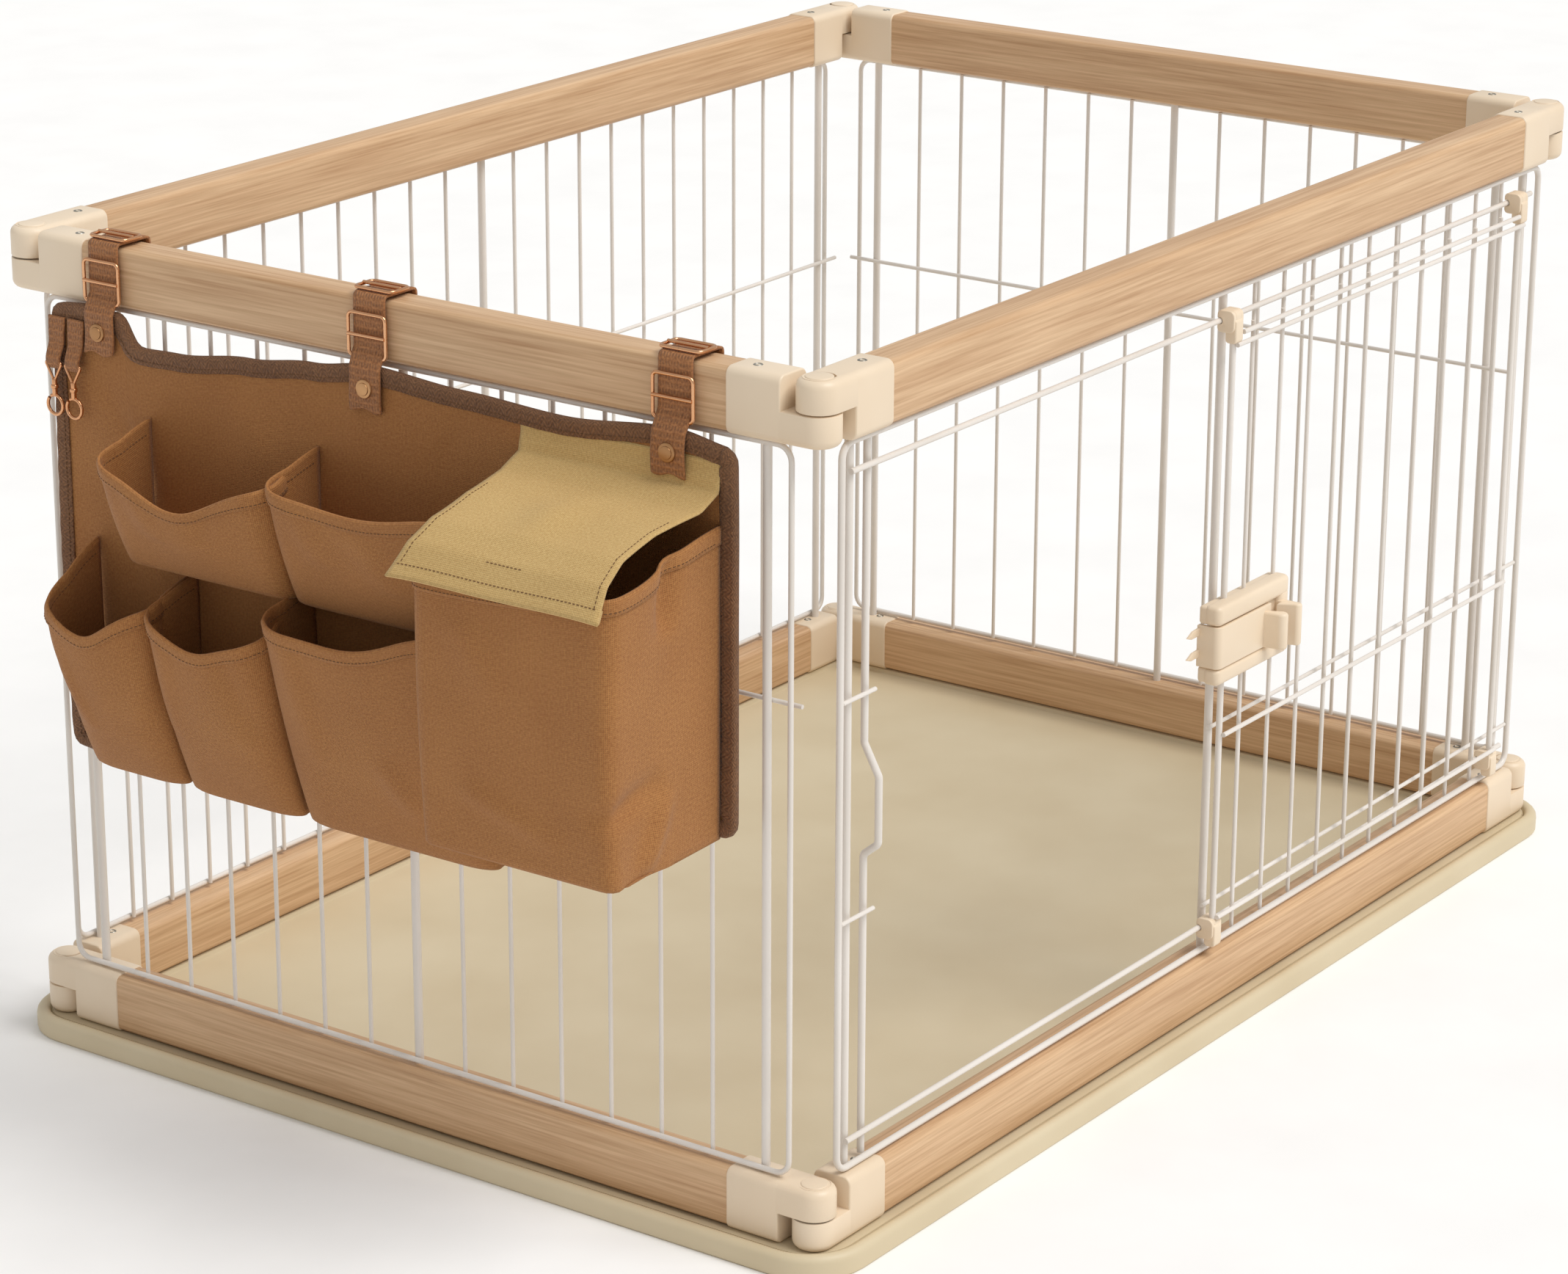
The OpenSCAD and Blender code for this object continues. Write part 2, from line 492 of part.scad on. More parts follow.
// ---------- assembly ----------
tray();
for (p = ["front", "back", "left", "right"]) {
  rail(p, top_cap_z);
  rail(p, cap_z);
  caps(p, top_cap_z, is_long(p));
  caps(p, cap_z, !is_long(p));
  thick_rods(p);
  panel_loop(p);
  wires(p);
}
for (c = [["fl", -1, -1], ["fr", 1, -1], ["bl", -1, 1], ["br", 1, 1]]) {
  pin(c[1], c[2], top_cap_z);
  pin(c[1], c[2], cap_z);
}
guide_rods();
keeper_bar();
cap_screws();
door_frame();
door_wires();
door_clips();
latch_housing();
latch_back_plate();
latch_slider();
latch_spring();
strap_loops();
organizer_back();
organizer_binding();
big_pocket();
upper_pockets();
lower_pockets();
pocket_flap();
strap_tails();
strap_buckles();
strap_snaps();
hook_tabs();
hook_at(hook_ys[0]);  // front_hook
hook_at(hook_ys[1]);  // rear_hook
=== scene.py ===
# %% [markdown]
# # Pet playpen with a canvas organizer
# A floor tray carries four wire panels. Each panel has a wood-look rail at its top and bottom,
# and moulded caps that meet at the corners on pins. A wire door slides along the front panel.
# A canvas organizer hangs outside the left rail. All lengths below are in millimetres; the
# pieces are scaled to metres once, when each mesh is finished.

# %% Load the frame
import bisect
import math
import bmesh
import bpy
from mathutils import Matrix, Vector


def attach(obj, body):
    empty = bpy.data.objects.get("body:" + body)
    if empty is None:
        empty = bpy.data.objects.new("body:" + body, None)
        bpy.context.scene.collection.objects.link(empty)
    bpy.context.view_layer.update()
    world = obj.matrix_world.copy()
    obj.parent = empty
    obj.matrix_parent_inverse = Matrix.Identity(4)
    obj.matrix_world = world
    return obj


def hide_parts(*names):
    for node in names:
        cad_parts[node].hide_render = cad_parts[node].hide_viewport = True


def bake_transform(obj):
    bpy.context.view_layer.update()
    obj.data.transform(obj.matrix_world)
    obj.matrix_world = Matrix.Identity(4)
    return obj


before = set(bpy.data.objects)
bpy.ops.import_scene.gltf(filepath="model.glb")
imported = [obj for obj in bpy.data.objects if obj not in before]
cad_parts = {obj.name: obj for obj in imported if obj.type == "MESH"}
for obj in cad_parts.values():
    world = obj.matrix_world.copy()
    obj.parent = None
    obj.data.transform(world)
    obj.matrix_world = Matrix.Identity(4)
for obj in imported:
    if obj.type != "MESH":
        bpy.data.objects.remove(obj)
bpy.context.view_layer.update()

# %% [markdown]
# ## Sizes that the pieces share
# The four panels are drawn alike: x runs along the panel from one corner pin to the other, y
# points into the pen, and z is up. One matrix per side then puts a panel in its place, so a
# rail or cap needs to be described only once.

# %% Sizes and sides
PEN_L = 936
PEN_W = 634
CAP_Z = 13.2
BASE_Z = 55.2
TOP_Z = 531.2
CAP_W = 28
CAP_H = 42
RAIL_W = 26
RAIL_H = 40
RAIL_START = 56.5
ROD_D = 6
WIRE_D = 3
PITCH = 40
WIRE_LO = 57.9
WIRE_HI = 528.8
SIDES = {
    "front": (PEN_L, Matrix.Translation((-PEN_L / 2, -PEN_W / 2, 0))),
    "back": (PEN_L, Matrix.Translation((PEN_L / 2, PEN_W / 2, 0)) @ Matrix.Rotation(math.pi, 4, "Z")),
    "left": (PEN_W, Matrix.Translation((-PEN_L / 2, PEN_W / 2, 0)) @ Matrix.Rotation(-math.pi / 2, 4, "Z")),
    "right": (PEN_W, Matrix.Translation((PEN_L / 2, -PEN_W / 2, 0)) @ Matrix.Rotation(math.pi / 2, 4, "Z")),
}
FRONT = SIDES["front"][1]
print("sides", list(SIDES))

# %% [markdown]
# ## Building materials from nodes
# Every finish is a Principled shader fed by a few texture nodes. One function adds a node: a
# value that is a socket is linked, and anything else is set. Colours are written as the hex
# codes a painter would pick and are turned linear by one function.

# %% Material helpers
def linear(code):
    parts = [int(code[i:i + 2], 16) / 255 for i in (1, 3, 5)]
    return [c / 12.92 if c <= 0.04045 else ((c + 0.055) / 1.055) ** 2.4 for c in parts] + [1]


def node(material, kind, inputs=None, **settings):
    made = material.node_tree.nodes.new("ShaderNode" + kind)
    for key, value in settings.items():
        setattr(made, key, value)
    for key, value in (inputs or {}).items():
        if isinstance(value, bpy.types.NodeSocket):
            material.node_tree.links.new(value, made.inputs[key])
        else:
            made.inputs[key].default_value = value
    return made


def connect(material, links):
    shader = material.node_tree.nodes["Principled BSDF"]
    for key, value in links.items():
        if isinstance(value, bpy.types.NodeSocket):
            material.node_tree.links.new(value, shader.inputs[key])
        else:
            shader.inputs[key].default_value = value


def ramp(material, fac, dark, light, lo=0.3, hi=0.7):
    made = node(material, "ValToRGB", {"Fac": fac})
    made.color_ramp.elements[0].position = lo
    made.color_ramp.elements[0].color = linear(dark)
    made.color_ramp.elements[1].position = hi
    made.color_ramp.elements[1].color = linear(light)
    return made.outputs["Color"]


def new_material(name):
    material = bpy.data.materials.new(name)
    material.use_nodes = True
    return material


# %% [markdown]
# ## Moulded and coated finishes
# Injection-moulded plastic is even in colour, with a fine satin texture from the mould that
# breaks up its highlight. Powder coat on wire is glossier, and slightly uneven like orange
# peel. Both read the object's own coordinates, in metres, so the grain has its real size.

# %% Plastic, powder coat and metal
def satin(name, dark, light, rough, grain, depth, **extra):
    material = new_material(name)
    place = node(material, "TexCoord").outputs["Object"]
    cloud = node(material, "TexNoise", {"Vector": place, "Scale": 9.0, "Detail": 3.0})
    fine = node(material, "TexNoise", {"Vector": place, "Scale": grain, "Detail": 2.0})
    gloss = node(material, "MapRange", {"Value": cloud.outputs["Fac"], "To Min": rough - 0.05,
                                        "To Max": rough + 0.06})
    bump = node(material, "Bump", {"Height": fine.outputs["Fac"], "Strength": 0.5, "Distance": depth})
    connect(material, {
        "Base Color": ramp(material, cloud.outputs["Fac"], dark, light),
        "Roughness": gloss.outputs["Result"],
        "Normal": bump.outputs["Normal"],
        **extra,
    })
    return material


MATERIALS = {
    # moulded nylon: satin, so the rounded corners keep a soft highlight
    "beige_plastic": satin("Satin moulded nylon", "#E1CBAE", "#EAD7BD", 0.42, 900, 0.00006),
    # vacuum-formed polypropylene: duller
    "tray_plastic": satin("Vacuum-formed polypropylene", "#CBBA99", "#D3C4A5", 0.5, 700, 0.0001),
    # powder-coated steel wire: glossy enough to show a bright line along each wire
    "cream_wire": satin("Powder-coated steel wire", "#DBD3C9", "#E6DFD7", 0.3, 1400, 0.00005),
    # copper-plated wire: a warm metal that picks out the strap's fittings
    "rose_metal": satin("Copper-plated steel wire", "#D4986C", "#E6B48A", 0.26, 1600, 0.00003, Metallic=1.0),
    # pressed brass: duller and more worn than the buckles
    "snap_brass": satin("Pressed antique brass", "#A67C55", "#C4986C", 0.38, 1800, 0.00004, Metallic=1.0),
    # zinc-plated screws sit in shadow inside the caps
    "screw_steel": satin("Zinc-plated steel", "#8E8A80", "#B1ADA3", 0.4, 1500, 0.00003, Metallic=1.0),
}
print("satin finishes", len(MATERIALS))

# %% [markdown]
# ## Wood-look foil
# The rails are wrapped in a printed foil. Long thin streaks run with the rail, over a slower
# change of tone. The streaks come from noise that is squeezed across the rail and stretched
# along it; each rail stores its own coordinates, so the print turns the corner with the rails.

# %% Wood-look foil
def wood_foil():
    material = new_material("Printed wood-grain foil")
    place = node(material, "Attribute", attribute_name="grain").outputs["Vector"]
    long = node(material, "Mapping", {"Vector": place, "Scale": (3.0, 150.0, 150.0)}).outputs["Vector"]
    broad = node(material, "Mapping", {"Vector": place, "Scale": (1.2, 26.0, 26.0)}).outputs["Vector"]
    streaks = node(material, "TexNoise", {"Vector": long, "Scale": 3.0, "Detail": 5.0, "Roughness": 0.62})
    bands = node(material, "TexNoise", {"Vector": broad, "Scale": 2.5, "Detail": 3.0, "Distortion": 0.6})
    fine = ramp(material, streaks.outputs["Fac"], "#AB8258", "#DFBC94", 0.32, 0.64)
    tone = ramp(material, bands.outputs["Fac"], "#BE936A", "#D9B58D", 0.35, 0.65)
    both = node(material, "Mix", {0: 0.42, 6: fine, 7: tone}, data_type="RGBA")
    bump = node(material, "Bump", {"Height": streaks.outputs["Fac"], "Strength": 0.25, "Distance": 0.0002})
    connect(material, {"Base Color": both.outputs[2], "Roughness": 0.45, "Normal": bump.outputs["Normal"]})
    return material


MATERIALS["oak_rail"] = wood_foil()

# %% [markdown]
# ## Woven cloth
# Each cloth piece carries a map called "cloth" whose two numbers are its flat width and
# length in metres. The weave is drawn from that map, so its threads keep one size however the
# cloth bends. Plain canvas crosses two sets of ribs; the binding's herringbone turns a
# diagonal rib back and forth; webbing has heavier ribs. The colour is darkened in the valleys
# between ribs as painted shade. A faint sheen stands for loose fibre.

# %% Cloth materials
def ribs(material, value, spacing):
    turns = node(material, "Math", {0: value, 1: 2 * math.pi / spacing}, operation="MULTIPLY")
    return node(material, "Math", {0: turns.outputs[0]}, operation="SINE").outputs[0]


def woven(name, dark, light, spacing, depth, weave="plain", rough=0.8, sheen=0.08):
    material = new_material(name)
    flat = node(material, "UVMap", uv_map="cloth").outputs["UV"]
    axes = node(material, "SeparateXYZ", {"Vector": flat}).outputs
    across, along = axes["X"], axes["Y"]
    if weave == "herringbone":
        fold = node(material, "Math", {0: across, 1: 0.004}, operation="PINGPONG").outputs[0]
        along = node(material, "Math", {0: along, 1: fold}, operation="ADD").outputs[0]
        height = ribs(material, along, spacing)
    else:
        over = ribs(material, across, spacing)
        under = ribs(material, along, spacing * (2.0 if weave == "webbing" else 1.0))
        height = node(material, "Math", {0: over, 1: under}, operation="MAXIMUM").outputs[0]
    slub = node(material, "TexNoise", {"Vector": flat, "Scale": 600.0, "Detail": 3.0}).outputs["Fac"]
    wear = node(material, "TexNoise", {"Vector": flat, "Scale": 18.0, "Detail": 3.0}).outputs["Fac"]
    mottle = node(material, "Math", {0: wear, 1: 0.3, 2: slub}, operation="MULTIPLY_ADD").outputs[0]
    mottle = node(material, "MapRange", {"Value": mottle, "From Min": 0.4, "From Max": 0.9}).outputs["Result"]
    colour = ramp(material, mottle, dark, light, 0.1, 0.9)
    # painted shade: the colour is multiplied down to 0.72 in the weave's valleys, where shade would fall
    # between threads
    painted_valley_shade = node(material, "MapRange", {"Value": height, "From Min": -1.0, "To Min": 0.72}).outputs["Result"]
    weave_colour_with_painted_shade = node(material, "Mix", {0: 1.0, 6: colour, 7: painted_valley_shade}, data_type="RGBA", blend_type="MULTIPLY")
    bump = node(material, "Bump", {"Height": height, "Strength": 0.6, "Distance": depth})
    connect(material, {
        "Base Color": weave_colour_with_painted_shade.outputs[2],
        "Roughness": rough,
        "Sheen Weight": sheen,
        "Sheen Roughness": 0.45,
        "Normal": bump.outputs["Normal"],
    })
    return material


# plain-weave cotton canvas, dyed tan; the flap's piece is a paler batch
MATERIALS["canvas"] = woven("Plain-weave cotton canvas", "#9A622E", "#B37B42", 0.0012, 0.00018)
MATERIALS["flap_canvas"] = woven("Plain-weave khaki canvas", "#C6A163", "#DAB879", 0.0012, 0.00018)
# herringbone twill tape: its zigzag catches light in narrow bands, and painted shade darkens the valleys
# between them
MATERIALS["binding_twill"] = woven("Herringbone twill tape", "#66432A", "#926642", 0.0026, 0.0003,
                                   "herringbone")
# woven polyester webbing: coarse ribs and a slight shine
MATERIALS["webbing"] = woven("Ribbed polyester webbing", "#85522A", "#B57A48", 0.0022, 0.0005,
                             "webbing", 0.62)
# sewing thread, a shade darker than the canvas so that rows of stitches show
MATERIALS["thread"] = satin("Spun sewing thread", "#5C3C1E", "#6F4B28", 0.7, 2500, 0.0001)
print("materials", sorted(MATERIALS))

# %% [markdown]
# ## Turning a mesh into a piece
# A piece is finished in one place: normals are made consistent, millimetres become metres,
# faces are smoothed up to an angle, and the piece is handed to the body it moves with and
# stands in for the CAD nodes it replaces.

# %% Piece helpers
def piece(name, bm, finish, body, nodes=(), angle=40):
    bmesh.ops.recalc_face_normals(bm, faces=bm.faces)
    bmesh.ops.scale(bm, vec=(0.001, 0.001, 0.001), verts=bm.verts)
    mesh = bpy.data.meshes.new(name)
    bm.to_mesh(mesh)
    bm.free()
    obj = bpy.data.objects.new(name, mesh)
    bpy.context.collection.objects.link(obj)
    mesh.shade_smooth()
    mesh.set_sharp_from_angle(angle=math.radians(angle))
    mesh.materials.append(MATERIALS[finish])
    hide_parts(*nodes)
    if body:
        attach(obj, body)
    return obj


def arc(cx, cy, r, a0, a1, n=6):
    steps = [math.radians(a0 + (a1 - a0) * i / n) for i in range(n + 1)]
    return [(cx + r * math.cos(a), cy + r * math.sin(a)) for a in steps]


def rounded(w, h, r, n=6, cx=0, cy=0):
    corners = [(1, 1, 0), (-1, 1, 90), (-1, -1, 180), (1, -1, 270)]
    return [p for sx, sy, a in corners
            for p in arc(cx + sx * (w / 2 - r), cy + sy * (h / 2 - r), r, a, a + 90, n)]


# an outline is drawn in (x, y); these turn it so that it is pushed along z, y or x
ALONG_Z = Matrix.Identity(4)
ALONG_Y = Matrix.Rotation(math.pi / 2, 4, "X")
ALONG_X = Matrix(((0, 0, 1, 0), (1, 0, 0, 0), (0, 1, 0, 0), (0, 0, 0, 1)))


def prism(bm, outline, start, depth, turn=ALONG_Z, place=Matrix.Identity(4), bevel=0.0, segments=3):
    """Pushes an outline from start by depth, rounds the edges of both ends, and puts it in place."""
    verts = [bm.verts.new((x, y, start)) for x, y in outline]
    face = bm.faces.new(verts)
    grown = bmesh.ops.extrude_face_region(bm, geom=[face])["geom"]
    top = [v for v in grown if isinstance(v, bmesh.types.BMVert)]
    bmesh.ops.translate(bm, verts=top, vec=(0, 0, depth))
    every = verts + top
    if bevel:
        rims = [e for ring in (verts, top) for e in {e for v in ring for e in v.link_edges}
                if abs(e.verts[0].co.z - e.verts[1].co.z) < 1e-6]
        made = bmesh.ops.bevel(bm, geom=rims, offset=bevel, offset_type="OFFSET", segments=segments,
                               profile=0.5, affect="EDGES", material=-1, clamp_overlap=True)
        every = list({v for v in every + made["verts"] if v.is_valid})
        seen = set(every)
        spread = list(every)
        while spread:
            for e in spread.pop().link_edges:
                for v in e.verts:
                    if v not in seen:
                        seen.add(v)
                        spread.append(v)
        every = list(seen)
    bmesh.ops.transform(bm, matrix=place @ turn, verts=every)
    return every


def bend_path(points, r, n=6):
    """The polyline through points with each inner corner rounded to radius r."""
    out = [Vector(points[0])]
    for a, b, c in zip(points, points[1:], points[2:]):
        a, b, c = Vector(a), Vector(b), Vector(c)
        d0, d1 = (b - a).normalized(), (c - b).normalized()
        turn = d0.angle(d1)
        if r == 0 or turn < 1e-4:
            out.append(b)
            continue
        cut = r * math.tan(turn / 2)
        centre = b + (d1 - d0).normalized() * (r / math.cos(turn / 2))
        start = b - d0 * cut - centre
        axis = d0.cross(d1).normalized()
        out += [centre + Matrix.Rotation(turn * i / n, 3, axis) @ start for i in range(n + 1)]
    return out + [Vector(points[-1])]


def wires(name, paths, diameter, finish, body, nodes, place=Matrix.Identity(4)):
    """Round wire along each path, as a curve with a round bevel turned into a mesh."""
    curve = bpy.data.curves.new(name, "CURVE")
    curve.dimensions = "3D"
    curve.bevel_depth = diameter / 2
    curve.bevel_resolution = 3
    curve.use_fill_caps = True
    for path in paths:
        line = curve.splines.new("POLY")
        line.points.add(len(path) - 1)
        for point, co in zip(line.points, path):
            point.co = (*(place @ Vector(co)), 1)
    draft = bpy.data.objects.new(name, curve)
    mesh = bpy.data.meshes.new_from_object(draft)
    bm = bmesh.new()
    bm.from_mesh(mesh)
    bpy.data.objects.remove(draft)
    bpy.data.curves.remove(curve)
    bpy.data.meshes.remove(mesh)
    return piece(name, bm, finish, body, nodes, 50)


# %% [markdown]
# ## Camera, floor and light
# The camera stands off the organizer's corner with a long lens, which keeps the panels nearly
# parallel. An even sky and one broad sun from the front give a studio look: a white floor,
# soft shadows, tops and front faces bright, and the organizer's side a little darker.

# %% Camera, floor and light
def aim_camera(place, azimuth, elevation, roll, lens):
    a, e, r = (math.radians(x) for x in (azimuth, elevation, roll))
    back = Vector((math.sin(a) * math.cos(e), -math.cos(a) * math.cos(e), math.sin(e)))
    right = Vector((math.cos(a), math.sin(a), 0))
    turn = Matrix((right, back.cross(right), back)).transposed() @ Matrix.Rotation(r, 3, "Z")
    data = bpy.data.cameras.new("camera")
    data.lens = lens
    camera = bpy.data.objects.new("camera", data)
    bpy.context.collection.objects.link(camera)
    camera.matrix_world = Matrix.Translation(place) @ turn.to_4x4()
    bpy.context.scene.camera = camera


def soft_sun(name, toward, power, spread):
    data = bpy.data.lights.new(name, "SUN")
    data.angle = math.radians(spread)
    data.energy = power
    lamp = bpy.data.objects.new(name, data)
    bpy.context.collection.objects.link(lamp)
    lamp.rotation_euler = Vector(toward).to_track_quat("-Z", "Y").to_euler()


aim_camera((-2.5812, -1.7938, 1.2917), -54.605, 18.828, 0.204, 105.28)
soft_sun("key", (-0.1, 0.55, -0.82), 2.1, 35)
bpy.context.scene.view_settings.view_transform = "Standard"
world = bpy.data.worlds.new("sky")
bpy.context.scene.world = world
world.use_nodes = True
world.node_tree.nodes["Background"].inputs["Color"].default_value = (1, 1, 1, 1)
world.node_tree.nodes["Background"].inputs["Strength"].default_value = 0.55
floor_bm = bmesh.new()
bmesh.ops.create_grid(floor_bm, x_segments=1, y_segments=1, size=9)
floor_mesh = bpy.data.meshes.new("floor")
floor_bm.to_mesh(floor_mesh)
floor_bm.free()
floor = bpy.data.objects.new("floor", floor_mesh)
bpy.context.collection.objects.link(floor)
floor_mesh.materials.append(satin("Matt white board", "#F4F3F1", "#F8F7F5", 0.9, 60, 0.0001))

# %% [markdown]
# ## The tray
# The tray is formed from one sheet: a thick rounded bead all round, a ledge that the bottom
# caps stand on, and a floor a little lower. It is built as a stack of rings from the outside
# in, each an inset of the last, and its edges are softened with a bevel. The ribs under the
# floor stay as straight strips.

# %% Tray
TRAY_MARGIN = 29


def ring(bm, inset, radius, z):
    grown = 2 * (TRAY_MARGIN - inset)
    outline = rounded(PEN_L + grown, PEN_W + grown, radius, 8)
    verts = [bm.verts.new((x, y, z)) for x, y in outline]
    return [bm.edges.new((a, b)) for a, b in zip(verts, verts[1:] + verts[:1])]


def build_tray():
    bm = bmesh.new()
    section = [(3.2, 38.8, 0), (1.2, 40.8, 0), (0.2, 41.8, 1.2)]
    section += [(5 - 4.95 * math.cos(math.radians(a)), 37 + 4.95 * math.cos(math.radians(a)),
                 10.75 + 4.95 * math.sin(math.radians(a))) for a in range(0, 181, 20)]
    section += [(10.2, 31.8, 13.9), (11, 31, 13.1), (38.5, 25.5, 13.1), (39.6, 24.4, 12.4), (40.6, 23.4, 9.8),
                (42, 22, 9.1)]
    rings = [ring(bm, *s) for s in section]
    for a, b in zip(rings, rings[1:]):
        bmesh.ops.bridge_loops(bm, edges=a + b)
    bmesh.ops.holes_fill(bm, edges=rings[-1], sides=0)
    shell = piece("formed_tray", bm, "tray_plastic", "tray", ["tray"], 35)
    ribs_bm = bmesh.new()
    for x in (-300, -150, 0, 150, 300):
        prism(ribs_bm, [(x - 1.5, -302), (x + 1.5, -302), (x + 1.5, 302), (x - 1.5, 302)], 0.2, 6)
    for y in (-150, 0, 150):
        prism(ribs_bm, [(-453, y - 1.5), (453, y - 1.5), (453, y + 1.5), (-453, y + 1.5)], 0.2, 5.9)
    piece("tray_ribs", ribs_bm, "tray_plastic", "tray", ["tray"])
    return shell


tray = build_tray()
print("tray", [round(x, 4) for x in tray.dimensions])

# %% [markdown]
# ## Rails
# A rail is a box section with rounded edges, wrapped in the wood-look foil. Each one is its
# outline pushed along the panel between the two caps. The grain's coordinates are stored
# before the rail is turned into place.

# %% Rails
def build_rail(side, level, z):
    length, place = SIDES[side]
    bm = bmesh.new()
    verts = prism(bm, rounded(RAIL_W, RAIL_H, 4.5, 5), RAIL_START, length - 2 * RAIL_START, ALONG_X)
    bmesh.ops.translate(bm, verts=verts, vec=(0, 0, z + CAP_H / 2))
    grain = bm.verts.layers.float_vector.new("grain")
    for v in bm.verts:
        v[grain] = v.co * 0.001 + Vector((len(side) * 1.7 + z * 0.01, 0, 0))
    bmesh.ops.transform(bm, matrix=place, verts=bm.verts)
    return piece(f"{side}_{level}_foil_rail", bm, "oak_rail", "pen_frame", [f"{side}_{level}_rail"])


for side in SIDES:
    build_rail(side, "top", TOP_Z)
    build_rail(side, "bottom", CAP_Z)
print("rails 8")

# %% [markdown]
# ## Corner caps
# A cap is a sleeve over the rail's end with a rounded knuckle that takes half its height. Two
# caps meet with one knuckle above the other and a pin through both. The sleeve is an outline
# pushed along the panel; the knuckle is a D-shaped plate with a rolled outer edge. The upper
# knuckle's top is opened by a circle, whose edge is pushed down to seat the pin's head.

# %% Caps
KNUCKLE_R = 13.95
SEAT_R = 10.2
SEAT_DEPTH = 2


def rim_edges(verts, level):
    """The knuckle's edges at one level, all but the long one that the sleeve covers."""
    found = []
    for e in {e for v in verts if v.is_valid for e in v.link_edges}:
        a, b = (v.co for v in e.verts)
        if abs(a.z - level) < 1e-5 and abs(b.z - level) < 1e-5 and (max(a.x, b.x) < 23 or abs(a.y - b.y) < 1):
            found.append(e)
    return found


def build_cap(bm, z, upper, place):
    sleeve = prism(bm, rounded(CAP_W, CAP_H, 5.5, 6), 18.5, 39.5, ALONG_X, bevel=1.3)
    bmesh.ops.translate(bm, verts=sleeve, vec=(0, 0, z + CAP_H / 2))
    plan = arc(0, 0, KNUCKLE_R, 90, 270, 18) + [(24, -KNUCKLE_R), (24, KNUCKLE_R)]
    half = CAP_H / 2 - 0.5
    low = z + CAP_H - half if upper else z + 0.03
    knuckle = [bm.verts.new((x, y, low)) for x, y in plan]
    lid = bm.faces.new(knuckle)
    grown = bmesh.ops.extrude_face_region(bm, geom=[lid])["geom"]
    top = [v for v in grown if isinstance(v, bmesh.types.BMVert)]
    bmesh.ops.translate(bm, verts=top, vec=(0, 0, half - 0.03))
    rolled, crisp = (top, knuckle) if upper else (knuckle, top)
    near = set(top + knuckle)
    for rim, width, steps in ((rolled, 5.4, 5), (crisp, 0.8, 2)):
        edges = rim_edges(near, rim[0].co.z)
        made = bmesh.ops.bevel(bm, geom=edges, offset=width, offset_type="OFFSET", segments=steps,
                               profile=0.5, affect="EDGES", material=-1, clamp_overlap=True)
        near |= set(made["verts"])
    near = [v for v in near if v.is_valid]
    bmesh.ops.transform(bm, matrix=place, verts=sleeve + near)
    if upper:
        roof_z = z + CAP_H
        centre = Matrix.Translation(place @ Vector((0, 0, roof_z)))
        seat = bmesh.ops.create_circle(bm, segments=40, radius=SEAT_R, matrix=centre)["verts"]
        seat_edges = list({e for v in seat for e in v.link_edges})
        level = [f for v in near for f in v.link_faces
                 if f.normal.z > 0.99 or abs(f.calc_center_median().z - roof_z) < 1e-4]
        roof = max(level, key=lambda f: f.calc_area())
        rim = list(roof.edges)
        bmesh.ops.delete(bm, geom=[roof], context="FACES_ONLY")
        bmesh.ops.bridge_loops(bm, edges=rim + seat_edges)
        down = bmesh.ops.extrude_edge_only(bm, edges=seat_edges)["geom"]
        foot = [v for v in down if isinstance(v, bmesh.types.BMVert)]
        bmesh.ops.translate(bm, verts=foot, vec=(0, 0, -SEAT_DEPTH))
        bmesh.ops.contextual_create(bm, geom=[e for e in down if isinstance(e, bmesh.types.BMEdge)
                                              and all(v in foot for v in e.verts)])


MIRROR = Matrix.Scale(-1, 4, (1, 0, 0))
for side, (length, place) in SIDES.items():
    for level, z in (("top", TOP_Z), ("bottom", CAP_Z)):
        upper = (side in ("front", "back")) == (level == "top")
        bm = bmesh.new()
        build_cap(bm, z, upper, place)
        build_cap(bm, z, upper, place @ Matrix.Translation((length, 0, 0)) @ MIRROR)
        piece(f"{side}_{level}_moulded_caps", bm, "beige_plastic", "pen_frame", [f"{side}_{level}_caps"], 30)
print("caps 16")

# %% [markdown]
# ## Pins and screws
# Each corner pin shows as a flat round head in its seat: a low cylinder with a softened rim
# on a thinner shaft. The screws that hold the caps are small pan heads with a drive recess in
# the top, their lower part hidden inside the caps' tops.

# %% Pins and screws
def cylinder(bm, x, y, z0, z1, d, segments=32, bevel=0.0):
    return prism(bm, [(x + d / 2 * math.cos(2 * math.pi * i / segments),
                       y + d / 2 * math.sin(2 * math.pi * i / segments)) for i in range(segments)],
                 z0, z1 - z0, bevel=bevel)


for tag, sx, sy in (("fl", -1, -1), ("fr", 1, -1), ("bl", -1, 1), ("br", 1, 1)):
    for level, z in (("top", TOP_Z), ("bottom", CAP_Z)):
        bm = bmesh.new()
        cylinder(bm, sx * PEN_L / 2, sy * PEN_W / 2, z + 3.5, z + CAP_H - 1, 8, 24)
        cylinder(bm, sx * PEN_L / 2, sy * PEN_W / 2, z + CAP_H - 1.9, z + CAP_H + 0.6, 17.6, 40, 0.9)
        name = f"pin_{level}_{tag}"
        piece(f"turned_{name}", bm, "beige_plastic", name, [name])

bm = bmesh.new()
for side, (length, place) in SIDES.items():
    for u in (44, length - 44):
        for z in (CAP_Z + CAP_H, TOP_Z + CAP_H):
            spot = place @ Vector((u, 0, 0))
            head = cylinder(bm, spot.x, spot.y, z - 2.4, z + 0.5, 6.4, 20, 0.9)
            roof = max({f for v in head for f in v.link_faces}, key=lambda f: f.calc_center_median().z)
            bmesh.ops.inset_region(bm, faces=[roof], thickness=1.6)
            bmesh.ops.translate(bm, verts=list(roof.verts), vec=(0, 0, -1.2))
piece("pan_head_screws", bm, "screw_steel", "pen_frame", ["cap_screws"], 30)
print("pins 8, screws 16")

